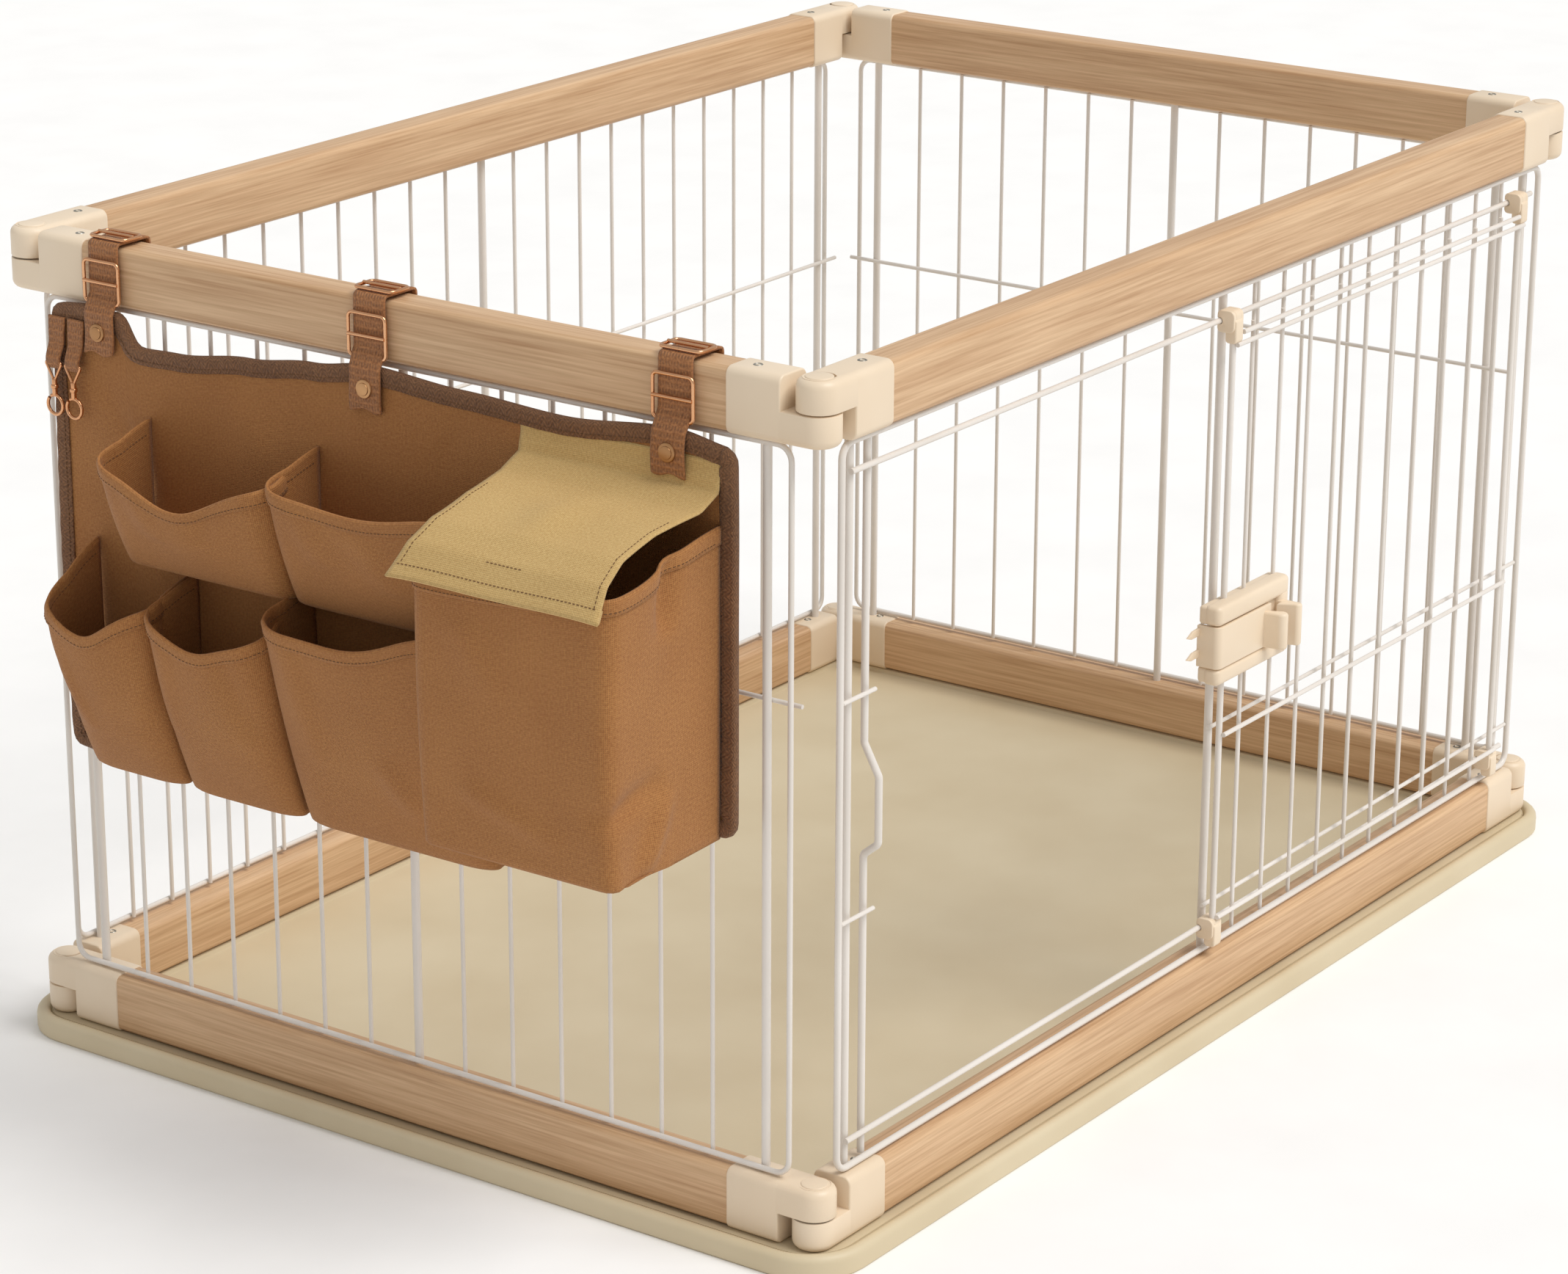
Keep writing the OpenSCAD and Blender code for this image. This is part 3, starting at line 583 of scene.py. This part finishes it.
# %% [markdown]
# ## Wire panels
# Every panel is three thick rods let into the rails, a loop bent from one rod, and thin
# wires welded inside the loop. A curve with a round bevel is the shortest way to describe
# bent wire: straight runs, with an arc at each bend.

# %% Wire panels
def upright(u, y, z0=WIRE_LO, z1=WIRE_HI):
    return [(u, y, z0), (u, y, z1)]


for side, (length, place) in SIDES.items():
    is_front = side == "front"
    inset = 33 if length == PEN_L else 37
    rods = [31, 468, 905] if is_front else [inset, length / 2, length - inset]
    wires(f"{side}_rods_round", [upright(u, 0, 50, 536) for u in rods], ROD_D, "cream_wire", "pen_frame",
          [f"{side}_thick_rods"], place)
    d = 4.6 if is_front else 3.8
    y = -(ROD_D + d) / 2 - 0.05
    mid = length / 2
    near, far = 16, length - 16
    loop = bend_path([(mid, y, WIRE_LO), (far, y, WIRE_LO), (far, y, WIRE_HI), (near, y, WIRE_HI),
                      (near, y, WIRE_LO), (mid - 0.01, y, WIRE_LO)], 10)
    wires(f"{side}_bent_loop", [loop], d, "cream_wire", "pen_frame", [f"{side}_wire_loop"], place)
    if is_front:
        runs = [upright(mid + PITCH * k, -1.5) for k in range(1, 11)]
        runs += [[(460, -4.55, BASE_Z + h), (917, -4.55, BASE_Z + h)] for h in (34.7, 165.7)]
    else:
        count = 10 if length == PEN_L else 6
        runs = [upright(mid + PITCH * k, -1.5) for k in range(-count, count + 1) if k]
        runs += [[(14, 4.55, BASE_Z + 309), (length - 14, 4.55, BASE_Z + 309)]]
    wires(f"{side}_welded_wires", runs, WIRE_D, "cream_wire", "pen_frame", [f"{side}_wires"], place)
print("panels", len(SIDES))

# %% [markdown]
# ## Door track and keeper
# Two rods run along the front for the door to slide on. Near the left corner an upright is
# cranked outwards, which gives the latch's prongs something to close behind; two short ties
# hold it to the loop.

# %% Guide rods and keeper
wires("guide_rods_round", [[(26, -5.05, BASE_Z + h), (909, -5.05, BASE_Z + h)] for h in (20, 454.5)], 4,
      "cream_wire", "pen_frame", ["guide_rods"], FRONT)
crank = bend_path([(50, 0, WIRE_LO), (50, 0, BASE_Z + 203), (50, -11, BASE_Z + 212), (50, -11, BASE_Z + 256),
                   (50, 0, BASE_Z + 276), (50, 0, WIRE_HI)], 5)
ties = [[(18, -5.65, BASE_Z + h), (53, -5.65, BASE_Z + h)] for h in (168, 311)]
keeper = wires("cranked_keeper", [crank], 5, "cream_wire", "pen_frame", ["keeper_bar"], FRONT)
wires("keeper_ties", ties, WIRE_D, "cream_wire", "pen_frame", ["keeper_bar"], FRONT)
print("keeper", [round(x, 4) for x in keeper.dimensions])

# %% [markdown]
# ## Sliding door
# The door's two side bars curl in over the top guide rod. Thin wires hang between four cross
# wires. Four moulded clips hold the door to its rods: a block on the bar with two lobes that
# close round the rod and open inwards, so the door can be pressed on.

# %% Door
DOOR_U = 461.5
DOOR_U1 = DOOR_U + 415
bars = [bend_path([(u, -12.5, BASE_Z + 10), (u, -12.5, BASE_Z + 458.5), (u, -6.5, BASE_Z + 458.5)], 5.8)
        for u in (DOOR_U, DOOR_U1)]
wires("door_side_bars", bars, 4.6, "cream_wire", "door", ["door_frame"], FRONT)
# the topmost cross wire stops short of the curled bars; the others run a little past them
rails = [[(DOOR_U + short, -16.6, BASE_Z + h), (DOOR_U1 - short, -16.6, BASE_Z + h)]
         for h, short in ((28.5, -1), (163, -1), (446, 7), (438.5, -1))]
wires("door_cross_wires", rails, 3.4, "cream_wire", "door", ["door_frame"], FRONT)
hung = [upright(488 + PITCH * k, -12.5, BASE_Z + 25, BASE_Z + 449) for k in range(10)]
wires("door_upright_wires", hung, WIRE_D, "cream_wire", "door", ["door_wires"], FRONT)

bm = bmesh.new()
for u in (DOOR_U, DOOR_U1):
    for z, lo, hi in ((BASE_Z + 454.5, -15, 2), (BASE_Z + 20, -13, 4)):
        block = rounded(8.6, hi - lo, 2.6, 5, -13.2, z + (lo + hi) / 2)
        prism(bm, block, u - 4.9, 9.8, ALONG_X, FRONT, 1.2)
        jaw = [(-3.4, z + 2.1)] + arc(-6.4, z + 4.5, 3, 0, 90) + arc(-12.4, z + 3.5, 4, 90, 180)
        jaw += arc(-12.4, z - 3.5, 4, 180, 270) + arc(-6.4, z - 4.5, 3, 270, 360) + [(-3.4, z - 2.1)]
        jaw += arc(-5.05, z, 2.3, 295, 65, 10)
        prism(bm, jaw, u - 6.3, 3.4, ALONG_X, FRONT, 0.7)
        prism(bm, jaw, u + 2.9, 3.4, ALONG_X, FRONT, 0.7)
        prism(bm, jaw, u - 3, 6, ALONG_X, FRONT, 0.3)
piece("moulded_door_clips", bm, "beige_plastic", "door", ["door_clips"], 30)
print("door clips 4")

# %% [markdown]
# ## Latch
# The latch is a two-part moulding closed round the door's wires. A C-shaped slider lies flush
# in a channel across its front and wraps its left side; thin gaps outline it. Two walls stand
# out of the front and end in rounded bars: one on the slider, one fixed over the channel's
# end. Squeezing them together draws the two prongs in. The blocks above and below the channel
# are rounded generously, and the core behind is set back.

# %% Latch
LATCH_Z = BASE_Z + 205
SLIDER_Z = LATCH_Z + 27


def plan_block(bm, u0, u1, y0, y1, r, z0, z1, bevel, segments=4):
    prism(bm, rounded(u1 - u0, y1 - y0, r, 6, (u0 + u1) / 2, (y0 + y1) / 2), z0, z1 - z0, place=FRONT,
          bevel=bevel, segments=segments)


bm = bmesh.new()
plan_block(bm, 438, 534, -23.5, -10.2, 4.8, SLIDER_Z + 15.4, LATCH_Z + 56, 3.2)
plan_block(bm, 438, 534, -23.5, -10.2, 4.8, LATCH_Z, SLIDER_Z - 15.4, 3.2)
plan_block(bm, 453, 534, -19.6, -12.55, 2.5, SLIDER_Z - 16.5, SLIDER_Z + 16.5, 0.4)
plan_block(bm, 519.4, 534, -23.5, -12.55, 4.8, SLIDER_Z - 17.5, SLIDER_Z + 17.5, 0.4)
tab = [(526, -20.5), (519.4, -20.5), (519.4, -24.2), (514.4, -24.2)] + arc(523, -35.2, 3.6, 170, 380, 10)
prism(bm, tab, SLIDER_Z - 17, 30, place=FRONT, bevel=1.6)
piece("latch_front_shell", bm, "beige_plastic", "door", ["latch_housing"], 30)

bm = bmesh.new()
plan_block(bm, 439, 533, -15, -6.1, 2.8, SLIDER_Z + 15.4, LATCH_Z + 55, 2)
plan_block(bm, 439, 533, -15, -6.1, 2.8, LATCH_Z + 1, SLIDER_Z - 15.4, 2)
plan_block(bm, 453, 533, -12.45, -6.1, 2.8, SLIDER_Z - 16.5, SLIDER_Z + 16.5, 0.4)
piece("latch_rear_shell", bm, "beige_plastic", "door", ["latch_back_plate"], 30)

bm = bmesh.new()
band = [(438, -6.2)] + arc(443, -18.5, 5, 180, 270, 8)
band += [(508, -23.5), (508, -20.1), (444, -20.1), (441.5, -17.6), (441.5, -6.2)]
prism(bm, band, SLIDER_Z - 14.9, 29.8, place=FRONT, bevel=0.7)
for s in (-1, 1):
    wedge = [(439, -2.6), (439, 3), (430, 2.4), (423, -1), (428, -2.6)]
    prism(bm, [(x, SLIDER_Z + 2 + s * 7.7 + y) for x, y in wedge], 6.2, 2, ALONG_Y, FRONT, 0.4)
finger = [(503, -22.5), (498, -22.5), (499, -31.5)] + arc(503.5, -34.3, 4.6, 170, 395, 12)
prism(bm, finger, SLIDER_Z - 14.9, 26, place=FRONT, bevel=2, segments=4)
piece("latch_squeeze_slider", bm, "beige_plastic", "latch_slider", ["latch_slider"], 30)
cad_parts["latch_spring"].data.materials.clear()
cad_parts["latch_spring"].data.materials.append(MATERIALS["screw_steel"])
print("latch at", LATCH_Z)

# %% [markdown]
# ## Cloth as a moved grid
# Each cloth piece starts as a flat grid. A function then says where the point at share s of
# its width and share t of its length goes, and the flat sizes are kept in the "cloth" map for
# the weave. A Solidify modifier gives it its thickness. The same function places stitches:
# small lozenges of thread that lie on the surface in rows. Creases are soft ridges along
# short lines, given by their two ends, height and half width.

# %% Cloth helpers
def cloth(name, cells, flat, shape, thickness, finish, body, nodes):
    bm = bmesh.new()
    uv = bm.loops.layers.uv.new("cloth")
    bmesh.ops.create_grid(bm, x_segments=cells[0], y_segments=cells[1], size=0.5, calc_uvs=True)
    for v in bm.verts:
        for loop in v.link_loops:
            loop[uv].uv = ((v.co.x + 0.5) * flat[0] * 0.001, (v.co.y + 0.5) * flat[1] * 0.001)
        v.co = shape(v.co.x + 0.5, v.co.y + 0.5)
    obj = piece(name, bm, finish, body, nodes, 70)
    thick = obj.modifiers.new("thickness", "SOLIDIFY")
    thick.thickness = thickness * 0.001
    thick.offset = 0
    return obj


def lift(shape, s, t, height):
    """The point at (s, t), raised off the surface by height on its outer side."""
    e = 0.004
    ds = Vector(shape(min(1, s + e), t)) - Vector(shape(max(0, s - e), t))
    dt = Vector(shape(s, min(1, t + e))) - Vector(shape(s, max(0, t - e)))
    return Vector(shape(s, t)) + ds.cross(dt).normalized() * height


def stitches(name, rows, body, pitch=3.4, size=0.9):
    """Rows of thread: each row is a list of points on a surface."""
    whole = bmesh.new()
    for points in rows:
        bm = bmesh.new()
        left = pitch / 2
        for a, b in zip(points, points[1:]):
            run = (b - a).length
            while left < run:
                turn = (b - a).to_track_quat("X", "Z").to_matrix().to_4x4()
                shape = Matrix.Diagonal((pitch * 0.4, size / 2, size / 2, 1))
                spot = Matrix.Translation(a.lerp(b, left / run)) @ turn @ shape
                bmesh.ops.create_uvsphere(bm, u_segments=6, v_segments=4, radius=1, matrix=spot)
                left += pitch
            left -= run
        mesh = bpy.data.meshes.new("row")
        bm.to_mesh(mesh)
        bm.free()
        whole.from_mesh(mesh)
        bpy.data.meshes.remove(mesh)
    return piece(name, whole, "thread", body, (), 60)


def row(shape, fixed, start, end, height, along="s", n=60):
    steps = [start + (end - start) * i / n for i in range(n + 1)]
    return [lift(shape, k, fixed, height) if along == "s" else lift(shape, fixed, k, height) for k in steps]


def knots(table, x):
    """A smooth curve through (x, value) pairs."""
    if x <= table[0][0]:
        return table[0][1]
    for (x0, v0), (x1, v1) in zip(table, table[1:]):
        if x <= x1:
            k = (x - x0) / (x1 - x0)
            return v0 + (v1 - v0) * k * k * (3 - 2 * k)
    return table[-1][1]


def walker(points, r, n=5):
    """A function that gives the point at share t of the way along a line with rounded corners."""
    line = bend_path(points, r, n)
    lengths = [0]
    for a, b in zip(line, line[1:]):
        lengths.append(lengths[-1] + (b - a).length)

    def at(t):
        want = t * lengths[-1]
        k = min(len(line) - 2, max(0, bisect.bisect_right(lengths, want) - 1))
        return line[k].lerp(line[k + 1], (want - lengths[k]) / (lengths[k + 1] - lengths[k]))
    return at, lengths[-1]


def creased(shape, ridges):
    """The shape with ridges ((s0, t0), (s1, t1), height, half width) pressed into it."""
    def made(s, t):
        height = 0
        for a, b, high, wide in ridges:
            p, a, b = Vector((s, t)), Vector(a), Vector(b)
            k = min(1, max(0, (p - a).dot(b - a) / (b - a).length_squared))
            gap = (p - a.lerp(b, k)).length / wide
            if gap < 3:
                height += high * math.exp(-gap * gap) * math.sin(math.pi * min(1, 0.25 + k)) ** 0.5
        return lift(shape, s, t, height) if height else shape(s, t)
    return made


# %% [markdown]
# ## Organizer back and binding
# The back is one piece of stiffened canvas. It hangs from three straps, so its top edge dips
# between them. Twill tape is folded over the edge all round: the strip is a grid whose
# section goes up the outside, round the edge and down the inside.

# %% Back and binding
BACK_X = -485.5
TOP_EDGE = [(-270, 524), (-224, 530), (-140, 523), (-60, 526), (13, 530), (60, 524), (113, 518), (175, 511),
            (207, 510), (224, 530), (250, 532), (283, 530)]
LOW_EDGE = [(-270, 278), (-107, 278), (-98, 226), (100, 223), (283, 221)]


def back_x(y, z):
    ripple = 1.2 * math.sin(y / 34 + z / 70) + 0.8 * math.sin(y / 19 - z / 45)
    return BACK_X - ripple * min(1, max(0, (524 - z) / 60))


def back_shape(s, t):
    y = -267 + 547 * s
    low = knots(LOW_EDGE, y) + 3
    z = low + (knots(TOP_EDGE, y) - 3 - low) * t
    return (back_x(y, z), y, z)


cloth("canvas_back", (90, 44), (553, 304), creased(back_shape, [
    ((0.93, 0.85), (0.8, 0.55), 1.6, 0.02), ((0.55, 0.97), (0.6, 0.7), 1.4, 0.025),
    ((0.72, 0.9), (0.66, 0.72), -1.4, 0.03), ((0.38, 0.95), (0.42, 0.75), 1.2, 0.02)]),
    2.0, "canvas", "organizer", ["organizer_back"])


def edge_path():
    """The back's outline, once round, with rounded corners."""
    top = [(y, knots(TOP_EDGE, y)) for y in [-262 + 4 * k for k in range(135)]]
    far = arc(274, 521, 9, 90, 0, 5) + arc(274, 231, 9, 0, -90, 5)
    low = [(y, knots(LOW_EDGE, y)) for y in [262 - 6 * k for k in range(88)]]
    near = arc(-261, 287, 9, 270, 180, 5) + arc(-261, 515, 9, 180, 90, 5)
    return [Vector((0, *p)) for p in top + far + low + near]


def even(points, count):
    """The closed line through points, resampled at an even spacing, and its length."""
    at, total = walker(points + points[:1], 0, 0)
    return [at(i / count) for i in range(count)], total


EDGE, EDGE_LENGTH = even(edge_path(), 400)


def edge_at(s):
    x = (s % 1) * len(EDGE)
    i = int(x) % len(EDGE)
    run = (EDGE[(i + 3) % len(EDGE)] - EDGE[(i - 2) % len(EDGE)]).normalized()
    return EDGE[i].lerp(EDGE[(i + 1) % len(EDGE)], x - int(x)), Vector((0, run.z, -run.y))


# the tape's section: how far in from the edge, and how far out from the canvas
SECTION = [(11, 1.5), (8, 1.9), (4, 2.3), (1.6, 2.4), (0.4, 1.8), (0, 0.6),
           (0, -0.6), (0.4, -1.8), (1.6, -2.3), (6, -2.0), (10, -1.6)]


def binding_shape(s, t):
    point, inward = edge_at(s)
    k = t * (len(SECTION) - 1)
    i = min(len(SECTION) - 2, int(k))
    depth = SECTION[i][0] + (SECTION[i + 1][0] - SECTION[i][0]) * (k - i)
    out = SECTION[i][1] + (SECTION[i + 1][1] - SECTION[i][1]) * (k - i)
    p = point + inward * depth
    puff = 0.25 * math.sin(s * EDGE_LENGTH / 3.1) if out > 0 else 0
    return (back_x(p.y, p.z) - out * 1.2 - puff, p.y, p.z)


cloth("twill_binding", (400, 20), (EDGE_LENGTH, 25), binding_shape, 0.7, "binding_twill", "organizer",
      ["organizer_binding"])
stitches("binding_stitches", [row(binding_shape, 0.1, 0, 1, -0.6, n=400)], "organizer", 3.2, 0.7)
print("binding length", round(EDGE_LENGTH))

# %% [markdown]
# ## Pockets
# A pocket is one length of canvas, sewn to the back down both sides and along its bottom. Its
# plan is a box with rounded corners that narrows towards the bottom, so the front leans in.
# The rim's height is given at both seams, both corners and the middle; it sags between them.
# Ridges stand for creases. A doubled hem goes round the rim, with a row of stitches in it.

# %% Pockets
HEM = 10


def even_rim(marks, s):
    """The rim's height at s, averaged over a short way so that it has no flat spots."""
    return sum(knots(marks, s + d) for d in (-0.08, -0.04, 0, 0.04, 0.08)) / 5


def pocket_shape(y_far, y_near, z0, depth, rim, base, corner=13, squeeze=0.96, dent=0.0):
    """Its shape, the way round its plan, and its mean height. base and squeeze are the shares of
    its depth and width that it keeps at the bottom; dent pulls its sides in or out there."""
    half, middle = (y_far - y_near) / 2, (y_far + y_near) / 2
    at, around = walker([(half, 0, 0), (half, depth, 0), (-half, depth, 0), (-half, 0, 0)], corner)
    marks = list(zip((0, depth / around, 0.5, 1 - depth / around, 1), rim))

    def shape(s, t):
        plan = at(s)
        up = max(0.0, (t - 0.16) / 0.84)
        under = math.sin(math.pi / 2 * min(1.0, t / 0.16))
        front = plan.y / depth
        lean = base + (1 - base) * up ** 0.8
        bulge = 3.0 * math.sin(math.pi * up) * front * math.sin(math.pi * s)
        bow = 3.0 * math.sin(math.pi * min(1, 2 * (1 - front))) * math.copysign(1, plan.x)
        y = middle + plan.x * (squeeze + (1 - squeeze) * up) + bow * up - dent * bow * (1 - up)
        top = even_rim(marks, s)
        z = z0 + (top - z0) * up + (6 * (1 - under) - 3) * front * (1 - up) ** 6
        return (-487.2 - (plan.y * lean + bulge) * under, y, z)
    return shape, around, sum(rim) / len(rim) - z0


def build_pocket(name, node, shape, around, tall, cells=(60, 36)):
    share = 1 - 0.84 * HEM / tall
    cloth(name, cells, (around, tall / 0.84), shape, 1.5, "canvas", "organizer", [node])

    def hem_shape(s, t):
        curl = 1.2 if t < 0.8 else 1.2 * (1 - t) / 0.2
        return lift(shape, s, share + (1 - share) * t, curl)

    cloth(name + "_hem", (cells[0], 6), (around, HEM), hem_shape, 1.3, "canvas", "organizer", ())
    rows = [row(shape, share + (1 - share) * 0.2, 0.02, 0.98, 1.9, n=90),
            row(shape, share + (1 - share) * 0.2, 0.02, 0.98, -0.8, n=90)]
    stitches(name + "_stitches", rows, "organizer", 3.0, 0.7)


# each row: far and near seam, the rim's heights, and the creases
LOWER = [
    (250, 166, [376, 340, 325, 350, 366],
     [((0.3, 0.95), (0.42, 0.2), 3.0, 0.04), ((0.75, 0.9), (0.6, 0.3), 2.0, 0.05)]),
    (163, 65, [366, 350, 335, 348, 383],
     [((0.35, 0.9), (0.3, 0.3), 2.5, 0.04), ((0.62, 0.95), (0.7, 0.4), -3.0, 0.05)]),
    (62, -97, [383, 366, 364, 388, 396],
     [((0.3, 0.9), (0.34, 0.3), 2.5, 0.04), ((0.55, 0.5), (0.65, 0.25), 3.0, 0.04)]),
]
for k, (y_far, y_near, rim, ridges) in enumerate(LOWER):
    shape, around, tall = pocket_shape(y_far, y_near, 224.5, 62, rim, 0.27, 24, 0.97)
    build_pocket(f"lower_pocket_{k + 1}", "lower_pockets", creased(shape, ridges), around, tall)
UPPER = [
    (199, 58, [466, 447, 424, 452, 470],
     [((0.35, 0.9), (0.4, 0.4), 2.0, 0.05), ((0.6, 0.95), (0.55, 0.5), -2.5, 0.05)]),
    (55, -103, [472, 455, 450, 462, 470],
     [((0.3, 0.9), (0.38, 0.4), 2.5, 0.05), ((0.5, 0.8), (0.6, 0.3), 2.0, 0.05)]),
]
for k, (y_far, y_near, rim, ridges) in enumerate(UPPER):
    shape, around, tall = pocket_shape(y_far, y_near, 378, 57, rim, 0.5, 15, 1.0)
    build_pocket(f"upper_pocket_{k + 1}", "upper_pockets", creased(shape, ridges), around, tall)
shape, around, tall = pocket_shape(-109, -259, 277, 108, [466, 446, 449, 457, 477], 0.97, 9, 0.99, 1.0)
shape = creased(shape, [
    ((0.42, 0.36), (0.66, 0.22), 3.0, 0.03), ((0.70, 0.36), (0.88, 0.44), -5.5, 0.035),
    ((0.8, 0.2), (0.87, 0.42), 5.5, 0.02), ((0.4, 0.85), (0.5, 0.6), 2.0, 0.04),
    ((0.86, 0.98), (0.84, 0.75), -8.0, 0.025)])
build_pocket("big_flap_pocket", "big_pocket", shape, around, tall, (84, 48))
print("pockets 6")

# %% [markdown]
# ## Flap
# The flap is one sheet of paler canvas over the big pocket. It is sewn under the binding,
# lies flat behind the strap's tail, then swells outwards over the pocket's rim and hangs in
# front of it. A hem runs along its lower edge, and a short row of stitches shows where the
# fastener underneath is sewn on. It bends where the fixed band ends and the free part starts.

# %% Flap
FLAP_W = 151
FLAP_LINE = [(-0.9, 516), (-0.6, 508), (1.0, 503), (1.8, 497), (20, 489), (58, 484), (88, 476), (104, 465),
             (115, 446)]
FLAP_AT, FLAP_LONG = walker([(out, z, 0) for out, z in FLAP_LINE], 1.2, 4)


def flap_shape(s, t):
    p = FLAP_AT(t)
    free = max(0, (t - 0.25) / 0.75)
    side = 2 * s - 1
    y = -184 + FLAP_W / 2 * side + 12 * free ** 3 * (0.3 + 0.7 * s) - 5 * math.sin(math.pi * free) * side
    bump = 3.5 * math.exp(-((s - 0.52) / 0.12) ** 2 - ((t - 0.55) / 0.16) ** 2)
    wave = 2.0 * math.sin(5.5 * s + 2) * free + bump
    droop = 3.5 * free * free * side ** 2
    return (-487 - p.x - wave * 0.5 * free, y, p.y + wave - droop)


flap = cloth("curved_flap", (44, 60), (FLAP_W, FLAP_LONG), flap_shape, 1.5, "flap_canvas", None,
             ["pocket_flap"])
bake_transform(flap)
rows = [row(flap_shape, 0.945, 0.02, 0.98, 0.8), row(flap_shape, 0.03, 0.4, 0.94, 0.8, "t"),
        row(flap_shape, 0.97, 0.4, 0.94, 0.8, "t"), row(flap_shape, 0.86, 0.42, 0.6, 0.8)]
stitches("flap_stitches", rows, "flap", 3.0, 0.7)


def flap_hem_shape(s, t):
    return lift(flap_shape, s, 0.94 + 0.06 * t, -1.4 * min(1, (1 - t) * 6))


cloth("curved_flap_hem", (44, 5), (FLAP_W, HEM), flap_hem_shape, 1.4, "flap_canvas", "flap", ())
print("flap length", round(FLAP_LONG))

# %% [markdown]
# ## Straps, buckles and snaps
# Three webbing straps go over the rail and end in a tail on the organizer's face, where a
# snap closes them. Each is one strip that bends between the frame and the organizer. Two
# wire buckles lie on each strap, bent from one rod with a bar across the middle.

# %% Straps
STRAP_YS = (-224, 13, 238)
STRAP_W = 25
STRAP_AT, STRAP_LONG = walker([(-452.6, 0, 535), (-452.6, 0, 575), (-483.4, 0, 575), (-483.9, 0, 541),
                               (-489.9, 0, 529), (-490.0, 0, 502)], 3.2)


def build_strap(k, y):
    def strap_shape(s, t):
        p = STRAP_AT(t)
        tail = max(0, (t - 0.74) / 0.26)
        sway = (1.6 * math.sin(4 * tail + k) + 2.2 * tail) * (-1) ** k
        crown = 0.3 * math.sin(math.pi * s) + 0.8 * math.sin(3 * tail) * s
        cut_end = 1.2 * math.sin(2.5 * math.pi * s + k) * max(0, tail * 10 - 9)
        return (p.x - crown, y + sway * tail + STRAP_W * (0.5 - s), p.z - cut_end)

    strap = cloth(f"webbing_strap_{k + 1}", (10, 110), (STRAP_W, STRAP_LONG), strap_shape, 1.7, "webbing",
                  None, ["strap_loops", "strap_tails"])
    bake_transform(strap)
    bm = bmesh.new()
    cylinder(bm, 0, 0, 0, 2.2, 12.5, 32, 0.9)
    cylinder(bm, 0, 0, 2.0, 2.9, 8.4, 28, 0.6)
    place = Matrix.Translation((-490.6, y + 0.8 * (-1) ** k, 516.2)) @ Matrix.Rotation(-math.pi / 2, 4, "Y")
    bmesh.ops.transform(bm, matrix=place, verts=bm.verts)
    piece(f"brass_snap_{k + 1}", bm, "snap_brass", "organizer", ["strap_snaps"], 30)


def buckle_paths(w, h, place):
    around = bend_path([(0, h / 2, 0), (w / 2, h / 2, 0), (w / 2, -h / 2, 0), (-w / 2, -h / 2, 0),
                        (-w / 2, h / 2, 0), (-0.1, h / 2, 0)], 3.5)
    return [[place @ p for p in around], [place @ Vector((-w / 2, 0, 0.9)), place @ Vector((w / 2, 0, 0.9))]]


paths = []
for k, y in enumerate(STRAP_YS):
    build_strap(k, y)
    quarter = Matrix.Rotation(math.pi / 2, 4, "Z")
    hanging = Matrix.Rotation(-math.pi / 2, 4, "Y") @ quarter
    paths += buckle_paths(30, 28, Matrix.Translation((-486.5, y, 549)) @ hanging)
    paths += buckle_paths(30, 18, Matrix.Translation((-471, y, 577.4)) @ quarter)
wires("copper_buckles", paths, 2.4, "rose_metal", "pen_frame", ["strap_buckles"])
print("straps", len(STRAP_YS))

# %% [markdown]
# ## Hook tabs and swivel hooks
# Near the far top corner two narrow webbing tabs are folded and sewn down. Each holds a
# small swivel hook: a triangular wire eye, a turned neck, and an open ring.

# %% Tabs and hooks
def build_tab(k, y):
    def tab_shape(s, t):
        out = knots([(0, 1.4), (0.45, 2.4), (0.85, 6.8), (1, 5.6)], t)
        return (-487.6 - out, y + 14 * (0.5 - s) * (1 - 0.2 * t), 521.2 - 34 * t)

    cloth(f"webbing_tab_{k + 1}", (6, 24), (14, 35), tab_shape, 1.8, "webbing", "organizer", ["hook_tabs"])


HOOK_X = -494
HOOK_Z = 486.2
for k, (name, y) in enumerate((("front_hook", 260), ("rear_hook", 277))):
    build_tab(k, y)
    turn = Matrix.Translation((HOOK_X, y, HOOK_Z)) @ Matrix.Rotation(math.pi / 2, 4, "Z")
    eye = bend_path([(0, 0, 5), (7.4, 0, 5), (0.6, 0, -7), (-0.6, 0, -7), (-7.4, 0, 5), (-0.1, 0, 5)], 1.2)
    ring_path = [Vector((x, 0, z)) for x, z in arc(0, -24, 6.6, 60, 400, 30)]
    wires(f"{name}_eye", [[turn @ p for p in eye]], 1.9, "rose_metal", name, [name])
    wires(f"{name}_ring", [[turn @ p for p in ring_path]], 2.4, "rose_metal", name, [name])
    bm = bmesh.new()
    cylinder(bm, HOOK_X, y, HOOK_Z - 17.5, HOOK_Z - 6, 3.6, 20, 0.8)
    cylinder(bm, HOOK_X, y, HOOK_Z - 13, HOOK_Z - 10, 5.2, 20, 0.9)
    piece(f"{name}_swivel", bm, "rose_metal", name, [name], 30)
print("hooks 2")
